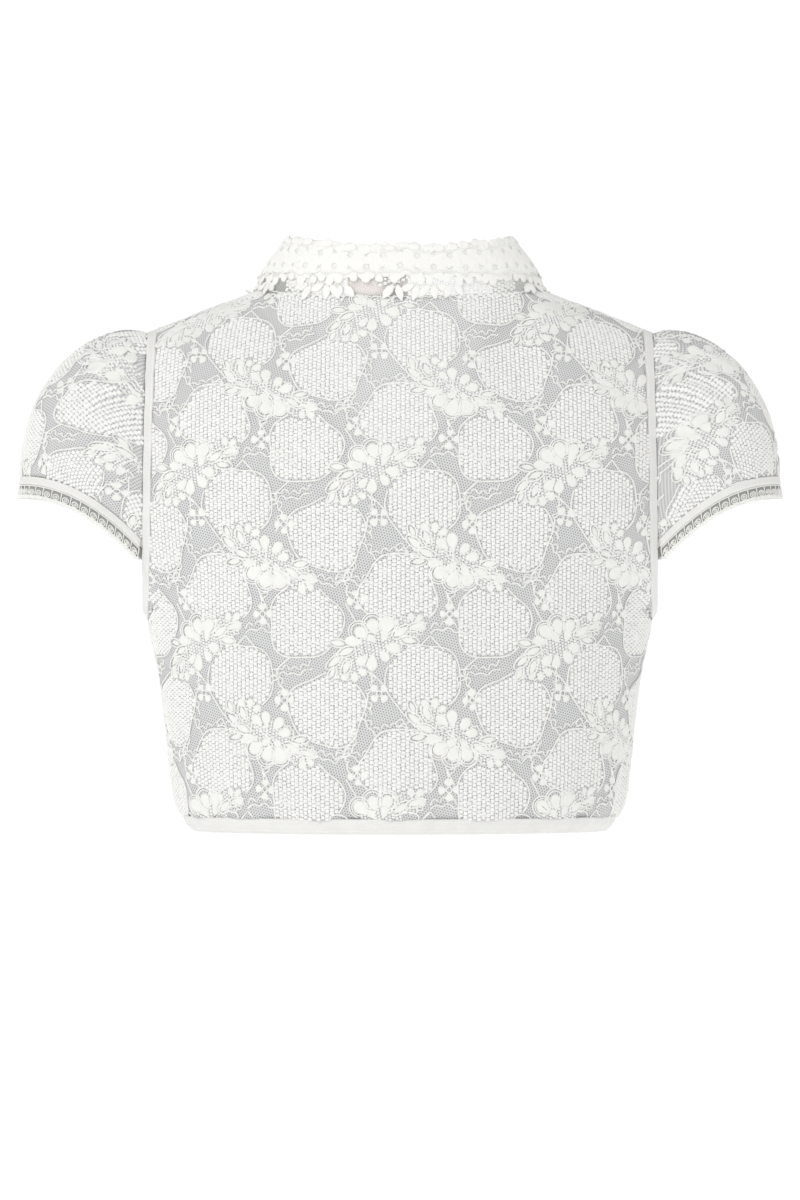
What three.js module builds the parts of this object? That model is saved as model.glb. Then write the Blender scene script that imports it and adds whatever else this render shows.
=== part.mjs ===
// A cropped dirndl blouse of white floral lace, hollow, in the shape it takes when it is worn.
// Millimetres. +X is the wearer's left, -Y the front, +Z up. The origin is on the centre line,
// level with the two points where the shoulder seams meet the neckline.
import * as THREE from "three";

// Driving sizes
const SEAM = 0.3; // gap between two pieces that are sewn together
const ARMHOLE_SEAM = 0.4; // the same, along the curved edge of the armhole binding
const LACE_WALL = 1.2; // the lace panels and sleeves
const BAND_WALL = 2.0; // armhole bindings and cuff bands
const COLLAR_WALL = 1.6;
const BINDING_WIDTH = 7;
const HEM_BOTTOM = -355;
const HEM_CASING = 9.4; // height of the elastic casing
const PANEL_BOTTOM = HEM_BOTTOM + HEM_CASING + SEAM;

// The armhole is an upright oval at the wearer's side.
const ARMHOLE = { x: 168, flare: 1.5, halfDepth: 45, centreZ: -118.5, halfHeight: 91.5 };

// The neckline: where the shoulder seam meets it, and its lowest points behind and in front.
const NECK = { x: 95, backY: 70, backZ: -5, frontY: 106, frontZ: -140, frontLean: 0.28 };
const NECK_SHARE = 0.625; // share of a half panel's columns that end at the neckline

// Sections of the body of the blouse, from the hem up. Depths are from the side seams' plane.
const SECTIONS = [
  { z: -355, halfWidth: 136, back: 88, front: 87 },
  { z: -347, halfWidth: 141.5, back: 91, front: 92 },
  { z: -336, halfWidth: 147, back: 93.5, front: 100 },
  { z: -312, halfWidth: 151, back: 93, front: 112 },
  { z: -280, halfWidth: 155, back: 93, front: 122 },
  { z: -250, halfWidth: 159, back: 95, front: 126 },
  { z: -216, halfWidth: 165.8, back: 97, front: 122 },
  { z: -165, halfWidth: 168, back: 98.5, front: 111 },
  { z: -118.5, halfWidth: 168, back: 98.5, front: 98 },
];

// Fullness that the bust darts give each front
const CUP = { x: 72, z: -258, radius: 52, fullness: 8 };

// How each panel rises: middle height on its centre line, and how its top leans in.
const BACK = { side: 1, depth: "back", midZ: -118.5, lean: 1.7, topY: NECK.backY };
const FRONT = { side: -1, depth: "front", midZ: -205, lean: 1.2, topY: NECK.frontY };
const SIDE_SHARE = 0.72; // share of the lower rows that run along the side seam

// Gathers that the hem elastic draws into the panels
const HEM_GATHERS = { perHalf: 4, depth: 1.4, reach: 0.34 };

// Grid counts
const HALF_COLUMNS = 16;
const PANEL_ROWS = { side: 5, low: 8, high: 8 }; // low and high rows meet the binding at its own corners
const BINDING_COLUMNS = 32;

// Puff sleeve, set into the upper part of the armhole
const SLEEVE = {
  halfSweep: (117 * Math.PI) / 180, // from the shoulder tip to each end of the sleeve
  start: 1.3, // clear of the binding's edge
  rows: 7,
  puff: 4,
  gathers: 12,
  gatherSweep: (78 * Math.PI) / 180,
  gatherDepth: 1.7,
  columnsPerGather: 4,
  plainColumns: 3, // on each side, below the gathers
};
// The cuff's line, an arch round the arm
const CUFF = { x: 169.4, reach: 80.6, halfDepth: 40, spread: 0.6, z: -121, drop: 42, arch: 2.08 };
const CUFF_BAND = 5.4;
const CUFF_COLUMNS = 32;

// Crochet edging below the cuff band, a ladder of open windows
const EDGING = { windows: 34, post: 2.0, rail: 1.5, windowHeight: 4.4, foot: 2.6, wall: 1.4 };

// Guipure collar: height of the standing part, and the leaf tips that lie on the panels
const COLLAR = { backHeight: 38, sideHeight: 44, frontHeight: 18, leafBase: 3.5, leafTip: 5.5, rest: 0.6 };
const COLLAR_RELIEF = 0.6;

// Ruches of the hem casing
const RUCHES = { count: 58, depth: 0.8, columnsPerRuche: 2 };

// Button placket and buttons
const PLACKET = { halfWidth: 9, wall: 1.2, top: 1.86, rest: 0.4 };
const BUTTON = { count: 5, radius: 5.5, thickness: 2.6, first: -158, last: -334 };

// Blank woven label inside the back of the collar, with a small tab below one end
const LABEL = { from: 34, tabFrom: 8, to: -5, top: 10.5, foot: -5.8, tabFoot: -10.8, wall: 1.0, behind: 0.5 };

const COLOURS = {
  lace: 0xf3f3ee,
  band: 0xf6f5f0,
  guipure: 0xf8f7f1,
  button: 0xf1efe8,
  label: 0xf6e6de,
};

const V = (x, y, z) => new THREE.Vector3(x, y, z);
const mix = THREE.MathUtils.lerp;
const smooth = (x) => THREE.MathUtils.smoothstep(x, 0, 1);
const clamp = THREE.MathUtils.clamp;
const steps = (count, from, to) => Array.from({ length: count + 1 }, (_, i) => mix(from, to, i / count));

// A section's size at any height, on a smooth curve through the table.
function section(column, z) {
  const last = SECTIONS.length - 1;
  let i = 0;
  while (i < last - 1 && z > SECTIONS[i + 1].z) i += 1;
  const slope = (k) => {
    const low = SECTIONS[Math.max(k - 1, 0)];
    const high = SECTIONS[Math.min(k + 1, last)];
    return (high[column] - low[column]) / (high.z - low.z);
  };
  const a = SECTIONS[i];
  const b = SECTIONS[i + 1];
  const span = b.z - a.z;
  const s = clamp((z - a.z) / span, 0, 1);
  const away = 1 - s;
  return (
    a[column] * (1 + 2 * s) * away * away +
    b[column] * s * s * (3 - 2 * s) +
    span * s * away * (slope(i) * away - slope(i + 1) * s)
  );
}

// The armhole's edge on the wearer's left. The angle is 0 at the shoulder tip, positive in front.
function armholeEdge(angle) {
  return V(
    ARMHOLE.x - ARMHOLE.flare * Math.cos(angle),
    -ARMHOLE.halfDepth * Math.sin(angle),
    ARMHOLE.centreZ + ARMHOLE.halfHeight * Math.cos(angle),
  );
}

// From the armhole's edge, along the cloth, into the body of the blouse.
function intoBody(angle) {
  const high = Math.max(0, Math.cos(angle)) ** 2;
  const low = Math.max(0, -Math.cos(angle)) ** 2;
  const mid = Math.sin(angle) ** 2;
  return V(-0.75 * mid - 0.93 * high - 0.5 * low, -0.66 * Math.sin(angle), 0.36 * high - 0.86 * low).normalize();
}

function bindingNormal(angle) {
  const step = 0.01;
  const along = armholeEdge(angle + step).sub(armholeEdge(angle - step));
  return intoBody(angle).cross(along).normalize();
}

// A panel's outer edge: up the side seam, then round the armhole to the shoulder tip.
function panelEdge(panel, t) {
  const angle = edgeAngle(t);
  const start = armholeEdge(Math.PI).addScaledVector(intoBody(Math.PI), BINDING_WIDTH + ARMHOLE_SEAM);
  if (t < SIDE_SHARE) {
    const z = mix(PANEL_BOTTOM, start.z, t / SIDE_SHARE);
    return V(section("halfWidth", z), 0, z);
  }
  const p = armholeEdge(angle).addScaledVector(intoBody(angle), BINDING_WIDTH + ARMHOLE_SEAM);
  return V(p.x, Math.abs(p.y), p.z);
}

// The armhole angle at a row of the panel's edge: PI at the underarm and 0 at the shoulder tip.
function edgeAngle(t) {
  if (t <= SIDE_SHARE) return Math.PI;
  return t < 1 ? mix(Math.PI, Math.PI / 2, (t - SIDE_SHARE) / (1 - SIDE_SHARE)) : mix(Math.PI / 2, 0, t - 1);
}

// The panel's top line: the neckline, then the shoulder seam. Y is towards the panel's own side.
function panelTop(panel, u) {
  const corner = V(NECK.x, 0, 0);
  if (u > NECK_SHARE) return corner.lerp(panelEdge(panel, 2), (u - NECK_SHARE) / (1 - NECK_SHARE));
  const q = u / NECK_SHARE;
  const sweep = (q * Math.PI) / 2;
  if (panel === BACK) return V(NECK.x * Math.sin(sweep), NECK.backY * Math.cos(sweep), NECK.backZ * Math.cos(sweep) ** 2);
  const z = NECK.frontZ * (1 - q) ** 1.15;
  const depth = NECK.frontY - NECK.frontLean * (z - NECK.frontZ);
  return V(NECK.x * Math.sin(sweep) ** 0.95, depth * Math.max(0, Math.cos(sweep)) ** 0.85, z);
}

function lowerPoint(panel, u, t) {
  const edge = panelEdge(panel, t);
  const z = mix(mix(PANEL_BOTTOM, panel.midZ, t), edge.z, u * u);
  const depth = section(panel.depth, z);
  const sweep = Math.acos(clamp(edge.y / depth, 0, 1));
  const round = (Math.cos(u * sweep) - Math.cos(sweep)) / (1 - Math.cos(sweep));
  const p = V((edge.x * Math.sin(u * sweep)) / Math.sin(sweep), mix(edge.y, depth, round), z);
  if (panel === FRONT) {
    const off = ((p.x - CUP.x) / CUP.radius) ** 2 + ((p.z - CUP.z) / CUP.radius) ** 2;
    p.y += CUP.fullness * Math.exp(-off) * (1 - u ** 4);
  }
  const gather = Math.cos(2 * Math.PI * HEM_GATHERS.perHalf * u) * (1 - smooth(t / HEM_GATHERS.reach));
  p.x += HEM_GATHERS.depth * gather * Math.sin((u * Math.PI) / 2);
  p.y += HEM_GATHERS.depth * gather * Math.cos((u * Math.PI) / 2);
  return p;
}

function upperPoint(panel, u, t) {
  const mid = lowerPoint(panel, u, 1);
  const top = panelTop(panel, u);
  const rise = Math.sin(((t - 1) * Math.PI) / 2);
  const over = Math.cos(((t - 1) * Math.PI) / 2);
  const round = smooth((2 * u) / NECK_SHARE - 1);
  return V(
    mix(mid.x, top.x, mix(rise, 1 - over, round)),
    mix(top.y, mid.y, mix(1 - rise ** panel.lean, over, round)),
    mix(mid.z, top.z, rise),
  );
}

// A point of a panel's outer face. u runs from the centre line, 0, to the side, 1 or -1,
// and t from the hem casing, 0, past the middle of the armhole, 1, to the top line, 2.
function panelPoint(panel, u, t) {
  const across = Math.abs(u);
  let p;
  if (t <= 1) p = lowerPoint(panel, across, t);
  else {
    const slip = panelEdge(panel, t).sub(upperPoint(panel, 1, t));
    p = upperPoint(panel, across, t).addScaledVector(slip, across ** 6);
  }
  return V(u < 0 ? -p.x : p.x, panel.side * (p.y + SEAM / 2), p.z);
}

function panelNormal(panel, u, t) {
  const step = 0.004;
  const du = panelPoint(panel, u + (u > 0.5 ? 0 : step), t).sub(panelPoint(panel, u - (u > 0.5 ? step : 0), t));
  const dt = panelPoint(panel, u, Math.min(t + step, 2)).sub(panelPoint(panel, u, t - step));
  return du.cross(dt).normalize().multiplyScalar(-panel.side);
}

// Normals of a grid of points, from the points beside each.
function gridNormals(grid, ring, away) {
  const rows = grid.length;
  const columns = grid[0].length;
  const at = (i, j) => grid[clamp(i, 0, rows - 1)][ring ? (j + columns) % columns : clamp(j, 0, columns - 1)];
  return grid.map((row, i) =>
    row.map((p, j) => {
      const across = at(i, j + 1).clone().sub(at(i, j - 1));
      const up = at(i + 1, j).clone().sub(at(i - 1, j));
      const n = across.cross(up).normalize();
      return n.dot(away(p)) < 0 ? n.negate() : n;
    }),
  );
}

// A wall of cloth on a grid of points. outer and inner are its faces' distances from the points,
// and hole says which cells are cut through. A symmetric wall's triangles mirror about its middle.
function wall(grid, { outer = 0, inner, ring = false, away, normals, hole = () => false, symmetric = false }) {
  const face = normals ?? gridNormals(grid, ring, away);
  const rows = grid.length - 1;
  const columns = grid[0].length - (ring ? 0 : 1);
  const out = typeof outer === "function" ? outer : () => outer;
  const column = (j) => (ring ? (j + columns) % columns : j);
  const front = (i, j) => grid[i][column(j)].clone().addScaledVector(face[i][column(j)], out(i, column(j)));
  const back = (i, j) => grid[i][column(j)].clone().addScaledVector(face[i][column(j)], -inner);
  const solid = (i, j) => {
    if (i < 0 || i >= rows) return false;
    if (!ring && (j < 0 || j >= columns)) return false;
    return !hole(i, column(j));
  };
  const points = [];
  let turned = false;
  const quad = (a, b, c, d) => (turned ? points.push(a, b, d, b, c, d) : points.push(a, b, c, a, c, d));
  for (let i = 0; i < rows; i += 1)
    for (let j = 0; j < columns; j += 1) {
      if (!solid(i, j)) continue;
      turned = symmetric && j < columns / 2;
      quad(front(i, j), front(i, j + 1), front(i + 1, j + 1), front(i + 1, j));
      quad(back(i, j), back(i + 1, j), back(i + 1, j + 1), back(i, j + 1));
      if (!solid(i - 1, j)) quad(front(i, j), back(i, j), back(i, j + 1), front(i, j + 1));
      if (!solid(i + 1, j)) quad(front(i + 1, j), front(i + 1, j + 1), back(i + 1, j + 1), back(i + 1, j));
      if (!solid(i, j - 1)) quad(front(i, j), front(i + 1, j), back(i + 1, j), back(i, j));
      if (!solid(i, j + 1)) quad(front(i, j + 1), back(i, j + 1), back(i + 1, j + 1), front(i + 1, j + 1));
    }
  return facingOut(points);
}

// A closed surface from a list of triangles' corners, turned so that its faces point out.
function facingOut(points) {
  let volume = 0;
  for (let i = 0; i < points.length; i += 3) volume += points[i].clone().cross(points[i + 1]).dot(points[i + 2]);
  if (volume < 0) for (let i = 0; i < points.length; i += 3) [points[i + 1], points[i + 2]] = [points[i + 2], points[i + 1]];
  return new THREE.BufferGeometry().setFromPoints(points);
}

const fromAxis = (p) => V(p.x, p.y, 0);
const mirrored = (geometry) => {
  const at = geometry.getAttribute("position");
  const points = [];
  for (let i = 0; i < at.count; i += 1) points.push(V(-at.getX(i), at.getY(i), at.getZ(i)));
  return facingOut(points);
};

const blouse = new THREE.Group();
function add(name, geometry, colour, roughness = 0.85) {
  const material = new THREE.MeshStandardMaterial({ color: colour, roughness, metalness: 0 });
  const mesh = new THREE.Mesh(geometry, material);
  mesh.name = name;
  mesh.geometry.computeVertexNormals();
  blouse.add(mesh);
}

// Rows of a panel, closer together round the lower armhole.
function panelRows() {
  return [
    ...steps(PANEL_ROWS.side, 0, SIDE_SHARE),
    ...steps(PANEL_ROWS.low, SIDE_SHARE, 1).slice(1),
    ...steps(PANEL_ROWS.high, 1, 2).slice(1),
  ];
}

// Normals along a sewn edge are kept square to the seam, so that the walls on both sides stay apart.
function panelWall(panel, columns) {
  const rows = panelRows();
  const grid = rows.map((t) => columns.map((u) => panelPoint(panel, u, t)));
  const normals = gridNormals(grid, false, fromAxis);
  rows.forEach((t, i) =>
    columns.forEach((u, j) => {
      const n = normals[i][j];
      if (Math.abs(u) === 1 && t >= SIDE_SHARE - 1e-6) {
        n.copy(bindingNormal(edgeAngle(t)));
        n.y = panel.side * Math.abs(n.y);
        if (u < 0) n.x = -n.x;
      }
      if (t > 2 - 1e-6 && Math.abs(u) >= NECK_SHARE - 1e-6) n.y = 0;
      if (t < SIDE_SHARE && Math.abs(u) === 1) n.y = 0;
      if (u === 0) n.x = 0;
      n.normalize();
    }),
  );
  return wall(grid, { inner: LACE_WALL, normals, symmetric: panel === BACK });
}

function addPanels() {
  add("back", panelWall(BACK, steps(2 * HALF_COLUMNS, -1, 1).map((u) => Math.round(u * 1e6) / 1e6)), COLOURS.lace);
  const left = panelWall(FRONT, steps(HALF_COLUMNS, 0, 1));
  left.translate(SEAM / 2, 0, 0);
  add("front_left", left, COLOURS.lace);
  add("front_right", mirrored(left), COLOURS.lace);
}

// A strip round the whole armhole, a little thicker than the lace on both faces.
function addBindings() {
  const angles = Array.from({ length: BINDING_COLUMNS }, (_, i) => (2 * Math.PI * i) / BINDING_COLUMNS);
  const grid = [0, 0.5, 1].map((share) =>
    angles.map((angle) => armholeEdge(angle).addScaledVector(intoBody(angle), share * BINDING_WIDTH)),
  );
  const normals = [0, 0.5, 1].map(() => angles.map((angle) => bindingNormal(angle)));
  const left = wall(grid, { outer: (i) => (i === 1 ? 0.7 : 0.4), inner: BAND_WALL - 0.4, ring: true, normals });
  add("armhole_binding_left", left, COLOURS.band);
  add("armhole_binding_right", mirrored(left), COLOURS.band);
}

// The cuff's line at an angle round the armhole.
function cuffPoint(angle) {
  const sweep = ((angle + SLEEVE.halfSweep) / (2 * SLEEVE.halfSweep)) * Math.PI;
  const out = Math.sin(sweep);
  return V(
    CUFF.x + CUFF.reach * out,
    CUFF.halfDepth * Math.cos(sweep) * (1 + CUFF.spread * out),
    CUFF.z - CUFF.drop * (1 - out) ** CUFF.arch,
  );
}

// The way the cuff hangs from its line: down, and a little outwards.
function cuffFall(angle) {
  const sweep = ((angle + SLEEVE.halfSweep) / (2 * SLEEVE.halfSweep)) * Math.PI;
  return V(0.18, 0.16 * Math.cos(sweep), -0.97).normalize();
}

function sleevePoint(angle, share) {
  const tau = (share * Math.PI) / 2;
  const root = armholeEdge(angle).add(V(SLEEVE.start, 0, 0));
  const cuff = cuffPoint(angle);
  const down = 1 - Math.cos(tau);
  const radial = V(0, -Math.sin(angle), Math.cos(angle));
  const p = V(mix(root.x, cuff.x, Math.sin(tau)), mix(root.y, cuff.y, down), mix(root.z, cuff.z, down));
  const gathered = 1 - smooth((Math.abs(angle) - 0.85 * SLEEVE.gatherSweep) / (0.15 * SLEEVE.gatherSweep));
  const wave = Math.cos((angle / SLEEVE.gatherSweep) * SLEEVE.gathers * Math.PI);
  const fade = Math.sin(Math.min(1, share / 0.16) * Math.PI * 0.5) * (1 - smooth(share / 0.75));
  const short = smooth((SLEEVE.halfSweep - Math.abs(angle)) / 0.5);
  const lift = SLEEVE.puff * Math.sin(2 * tau) * short + SLEEVE.gatherDepth * wave * gathered * fade;
  return p.addScaledVector(radial, lift);
}

function addSleeves() {
  const gathers = SLEEVE.gathers * SLEEVE.columnsPerGather;
  const angles = [
    ...steps(SLEEVE.plainColumns, -SLEEVE.halfSweep, -SLEEVE.gatherSweep),
    ...steps(gathers, -SLEEVE.gatherSweep, SLEEVE.gatherSweep).slice(1),
    ...steps(SLEEVE.plainColumns, SLEEVE.gatherSweep, SLEEVE.halfSweep).slice(1),
  ];
  const grid = steps(SLEEVE.rows, 0, 1).map((share) => angles.map((angle) => sleevePoint(angle, share)));
  const left = wall(grid, { inner: LACE_WALL, away: (p) => V(p.x - 150, p.y, p.z - ARMHOLE.centreZ) });
  add("sleeve_left", left, COLOURS.lace);
  add("sleeve_right", mirrored(left), COLOURS.lace);
}

const fromArm = (p) => V(p.x - 190, p.y, 0);

function addCuffBands() {
  const angles = steps(CUFF_COLUMNS, -SLEEVE.halfSweep, SLEEVE.halfSweep);
  const grid = [0, 1].map((share) =>
    angles.map((a) => cuffPoint(a).addScaledVector(cuffFall(a), SEAM + 0.2 + share * CUFF_BAND)),
  );
  const left = wall(grid, { outer: 0.4, inner: BAND_WALL - 0.4, away: fromArm });
  add("cuff_band_left", left, COLOURS.band);
  add("cuff_band_right", mirrored(left), COLOURS.band);
}

// Angles at equal steps along the cuff's line.
function cuffAngles(lengths) {
  const fine = steps(720, -SLEEVE.halfSweep, SLEEVE.halfSweep);
  const run = [0];
  fine.slice(1).forEach((a, i) => run.push(run[i] + cuffPoint(a).distanceTo(cuffPoint(fine[i]))));
  const whole = run[run.length - 1];
  return lengths.map((share) => {
    const want = share * whole;
    const k = clamp(run.findIndex((r) => r >= want), 1, run.length - 1);
    return mix(fine[k - 1], fine[k], (want - run[k - 1]) / (run[k] - run[k - 1]));
  });
}

// The edging is cut through between its posts, and is sewn in a back and a front length.
function addEdgings() {
  const half = EDGING.windows / 2;
  const postShare = 0.31; // of a window's pitch
  const start = SEAM + 0.2 + CUFF_BAND + SEAM;
  const depths = [0, EDGING.rail, EDGING.rail + EDGING.windowHeight, EDGING.rail + EDGING.windowHeight + EDGING.foot];
  const lengthOf = (from, to) => {
    const shares = [];
    for (let k = 0; k < half; k += 1) shares.push((k + 0) / (half + postShare), (k + postShare) / (half + postShare));
    shares.push(half / (half + postShare), 1);
    return cuffAngles(shares.map((s) => mix(from, to, s)));
  };
  const middleGap = 0.0008;
  const halves = [
    ["back", lengthOf(0, 0.5 - middleGap)],
    ["front", lengthOf(0.5 + middleGap, 1)],
  ];
  for (const [place, angles] of halves) {
    const grid = depths.map((depth) => angles.map((a) => cuffPoint(a).addScaledVector(cuffFall(a), start + depth)));
    const hole = (i, j) => i === 1 && j % 2 === 1;
    const left = wall(grid, { outer: 0.1, inner: EDGING.wall - 0.1, away: fromArm, hole });
    add(`cuff_edging_left_${place}`, left, COLOURS.guipure);
    add(`cuff_edging_right_${place}`, mirrored(left), COLOURS.guipure);
  }
}

// A point of a panel's built wall, straight between the columns of its grid.
function wallPoint(panel, u, t) {
  const column = clamp(Math.floor(u * HALF_COLUMNS + 1e-6), 0, HALF_COLUMNS - 1);
  const share = u * HALF_COLUMNS - column;
  return panelPoint(panel, column / HALF_COLUMNS, t).lerp(panelPoint(panel, (column + 1) / HALF_COLUMNS, t), share);
}

// The row of a panel whose point lies a given way below its top line.
function rowBelow(panel, u, drop) {
  const top = wallPoint(panel, u, 2);
  let low = 1;
  let high = 2;
  for (let k = 0; k < 24; k += 1) {
    const t = (low + high) / 2;
    if (wallPoint(panel, u, t).distanceTo(top) > drop) low = t;
    else high = t;
  }
  return low;
}

// Stations of the collar round the neckline, two for each column of the panels, from the left
// front's end to the right front's.
function collarStations() {
  const count = 2 * NECK_SHARE * HALF_COLUMNS;
  const stations = (panel, along) => steps(count, ...along).map((u, k) => ({ panel, u, leaf: (k + 1) % 2, side: 1 }));
  const left = [...stations(FRONT, [0, NECK_SHARE]), ...stations(BACK, [NECK_SHARE, 0]).slice(1)];
  const right = left
    .slice(0, -1)
    .reverse()
    .map((s) => ({ ...s, side: -1 }));
  return [...left, ...right];
}

// How the collar stands at a station: its height and the way it leans.
function collarStand({ panel, u }) {
  const q = u / NECK_SHARE;
  if (panel === BACK) {
    const height = mix(COLLAR.backHeight, COLLAR.sideHeight, q * q);
    const lean = V(-0.62 * q * q, mix(-0.21, -0.1, q), mix(0.97, 0.78, q));
    return { height, lean };
  }
  const arch = Math.sin(Math.PI * q);
  const height = mix(COLLAR.frontHeight, COLLAR.sideHeight, q ** 1.3);
  return { height, lean: V(-0.62 * q - 0.45 * arch, 0.25 * (1 - q) - 0.1 * q, 0.95 - 0.17 * q - 0.38 * arch) };
}

function collarPoint({ panel, u, leaf, side }, level) {
  const clearance = COLLAR.rest + COLLAR_WALL + (level < 0 ? 0.7 : 0);
  const clearOfPlacket = smooth((u * HALF_COLUMNS - 0.75) / 1.5);
  const drop = (COLLAR.leafBase + COLLAR.leafTip * leaf) * (panel === FRONT ? clearOfPlacket : 1);
  const t = level < 0 ? rowBelow(panel, u, drop + 0.3) : 1.999;
  const normal = panelNormal(panel, u, t);
  const p = wallPoint(panel, u, level < 0 ? t : 2).addScaledVector(normal, clearance);
  if (level > 0) {
    const { height, lean } = collarStand({ panel, u });
    const tall = level === 1 ? 1 - 0.03 * leaf : level;
    p.x += lean.x * height * tall ** 1.5;
    p.y += lean.y * height * tall ** 1.5;
    p.z += lean.z * height * tall ** 0.85;
  }
  if (u > NECK_SHARE - 1e-6) p.y -= level < 0 ? 0 : normal.y * clearance;
  p.x = side * Math.max(p.x, panel === FRONT ? SEAM / 2 : 0);
  normal.x *= side;
  return { p, normal };
}

function addCollar() {
  const stations = collarStations();
  const levels = [-1, 0, 0.3, 0.62, 1];
  const points = levels.map((level) => stations.map((s) => collarPoint(s, level)));
  const grid = points.map((row) => row.map((point) => point.p));
  const normals = gridNormals(grid, false, fromAxis);
  points.slice(0, 2).forEach((row, i) => row.forEach((point, j) => normals[i][j].copy(point.normal)));
  const relief = (i, j) => (i > 0 && i < levels.length - 1 && (i + j) % 2 === 0 ? COLLAR_RELIEF : 0);
  add("collar", wall(grid, { outer: relief, inner: COLLAR_WALL, normals, symmetric: true }), COLOURS.guipure);
}

// A point of the body's section at a height below the panels. 0 is the centre front, PI the centre back.
function casingPoint(angle, z) {
  const depth = Math.cos(angle) > 0 ? section("front", z) : section("back", z);
  return V(section("halfWidth", z) * Math.sin(angle), -depth * Math.cos(angle), z);
}

// The casing runs round from one side of the placket to the other.
function addHemCasing() {
  const top = HEM_BOTTOM + HEM_CASING;
  const start = Math.asin((PLACKET.halfWidth + SEAM) / section("halfWidth", top)) + 0.006;
  const angles = steps(RUCHES.count * RUCHES.columnsPerRuche, start, 2 * Math.PI - start);
  const grid = [top, (top + HEM_BOTTOM) / 2, HEM_BOTTOM].map((z) => angles.map((a) => casingPoint(a, z)));
  const outer = (i, j) => (i === 1 ? 1.3 : 0.6) + (j % 2 ? RUCHES.depth : 0);
  const normals = gridNormals(grid, false, fromAxis).map((row) => row.map((n) => n.setZ(0).normalize()));
  add("hem_casing", wall(grid, { outer, inner: BAND_WALL, normals }), COLOURS.band);
}

// Rows of the placket, from the neckline down: points of the fronts' walls, then of the casing's line.
function placketRows() {
  const row = (middle, beside) => {
    const side = middle.clone().lerp(beside, PLACKET.halfWidth / beside.x);
    return [V(-side.x, side.y, side.z), V(0, middle.y, middle.z), side];
  };
  const onPanel = [...panelRows().filter((t) => t < PLACKET.top), PLACKET.top]
    .reverse()
    .map((t) => row(panelPoint(FRONT, 0, t), panelPoint(FRONT, 1 / HALF_COLUMNS, t)));
  const onCasing = steps(2, HEM_BOTTOM + HEM_CASING, HEM_BOTTOM).map((z) => row(casingPoint(0, z), casingPoint(0.1, z)));
  return [...onPanel, ...onCasing];
}

function addPlacket() {
  const grid = placketRows();
  const normals = gridNormals(grid, false, fromAxis);
  add("button_placket", wall(grid, { outer: PLACKET.rest + PLACKET.wall, inner: -PLACKET.rest, normals }), COLOURS.band);
}

// Where a button rests on the placket: square to it, and clear of its rise above and below the middle.
function placketSeat(z) {
  const line = placketRows().map((row) => row[1]);
  const at = (height) => {
    const k = clamp(line.findIndex((p) => p.z < height), 1, line.length - 1);
    return line[k - 1].clone().lerp(line[k], (height - line[k - 1].z) / (line[k].z - line[k - 1].z));
  };
  const above = at(z + BUTTON.radius);
  const below = at(z - BUTTON.radius);
  const fall = below.clone().sub(above);
  const normal = V(0, fall.z, -fall.y).normalize();
  const near = [above, below, ...line.filter((p) => Math.abs(p.z - z) < BUTTON.radius)];
  const rise = Math.max(...near.map((p) => p.clone().sub(at(z)).dot(normal)));
  return { middle: at(z).addScaledVector(normal, rise), normal };
}

function addButtons() {
  const { radius, thickness } = BUTTON;
  const profile = [
    [0, 0],
    [radius * 0.82, 0],
    [radius, thickness * 0.4],
    [radius * 0.96, thickness * 0.85],
    [radius * 0.8, thickness],
    [radius * 0.62, thickness * 0.62],
    [0, thickness * 0.62],
  ].map(([r, h]) => new THREE.Vector2(r, h));
  steps(BUTTON.count - 1, BUTTON.first, BUTTON.last).forEach((z, i) => {
    const { middle, normal } = placketSeat(z);
    const seat = middle.addScaledVector(normal, PLACKET.rest + PLACKET.wall + SEAM + 0.1);
    const turn = new THREE.Quaternion().setFromUnitVectors(V(0, 1, 0), normal);
    const button = new THREE.LatheGeometry(profile, 14).applyQuaternion(turn).translate(seat.x, seat.y, seat.z);
    button.deleteAttribute("normal");
    button.deleteAttribute("uv");
    add(`button_${i + 1}`, button, COLOURS.button, 0.35);
  });
}

// The label stands level with the neckline seam, behind both the collar and the top of the panel.
function addLabel() {
  const across = [LABEL.from, mix(LABEL.from, LABEL.tabFrom, 0.5), LABEL.tabFrom, LABEL.to];
  const grid = [LABEL.top, LABEL.foot, LABEL.tabFoot].map((z) =>
    across.map((x) => {
      const u = (Math.asin(Math.abs(x) / NECK.x) / (Math.PI / 2)) * NECK_SHARE;
      return V(x, wallPoint(BACK, u, 2).y - LACE_WALL - LABEL.behind, z);
    }),
  );
  const hole = (i, j) => i === 1 && j < across.length - 2;
  add("neck_label", wall(grid, { inner: LABEL.wall, away: fromAxis, hole }), COLOURS.label, 0.6);
}

addPanels();
addBindings();
addSleeves();
addCuffBands();
addEdgings();
addCollar();
addHemCasing();
addPlacket();
addButtons();
addLabel();

export default blouse;
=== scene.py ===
"""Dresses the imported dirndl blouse: sheer floral lace, a guipure collar, plain bands and crochet.

Forms are worked out in millimetres from the same driving sizes as the solids, and become meshes in
metres. The blouse is seen from behind: +X is the wearer's left, +Y the back and +Z up.
"""

from __future__ import annotations

import logging
import math
from dataclasses import dataclass, field
from enum import Enum
from typing import Callable, Sequence

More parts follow.
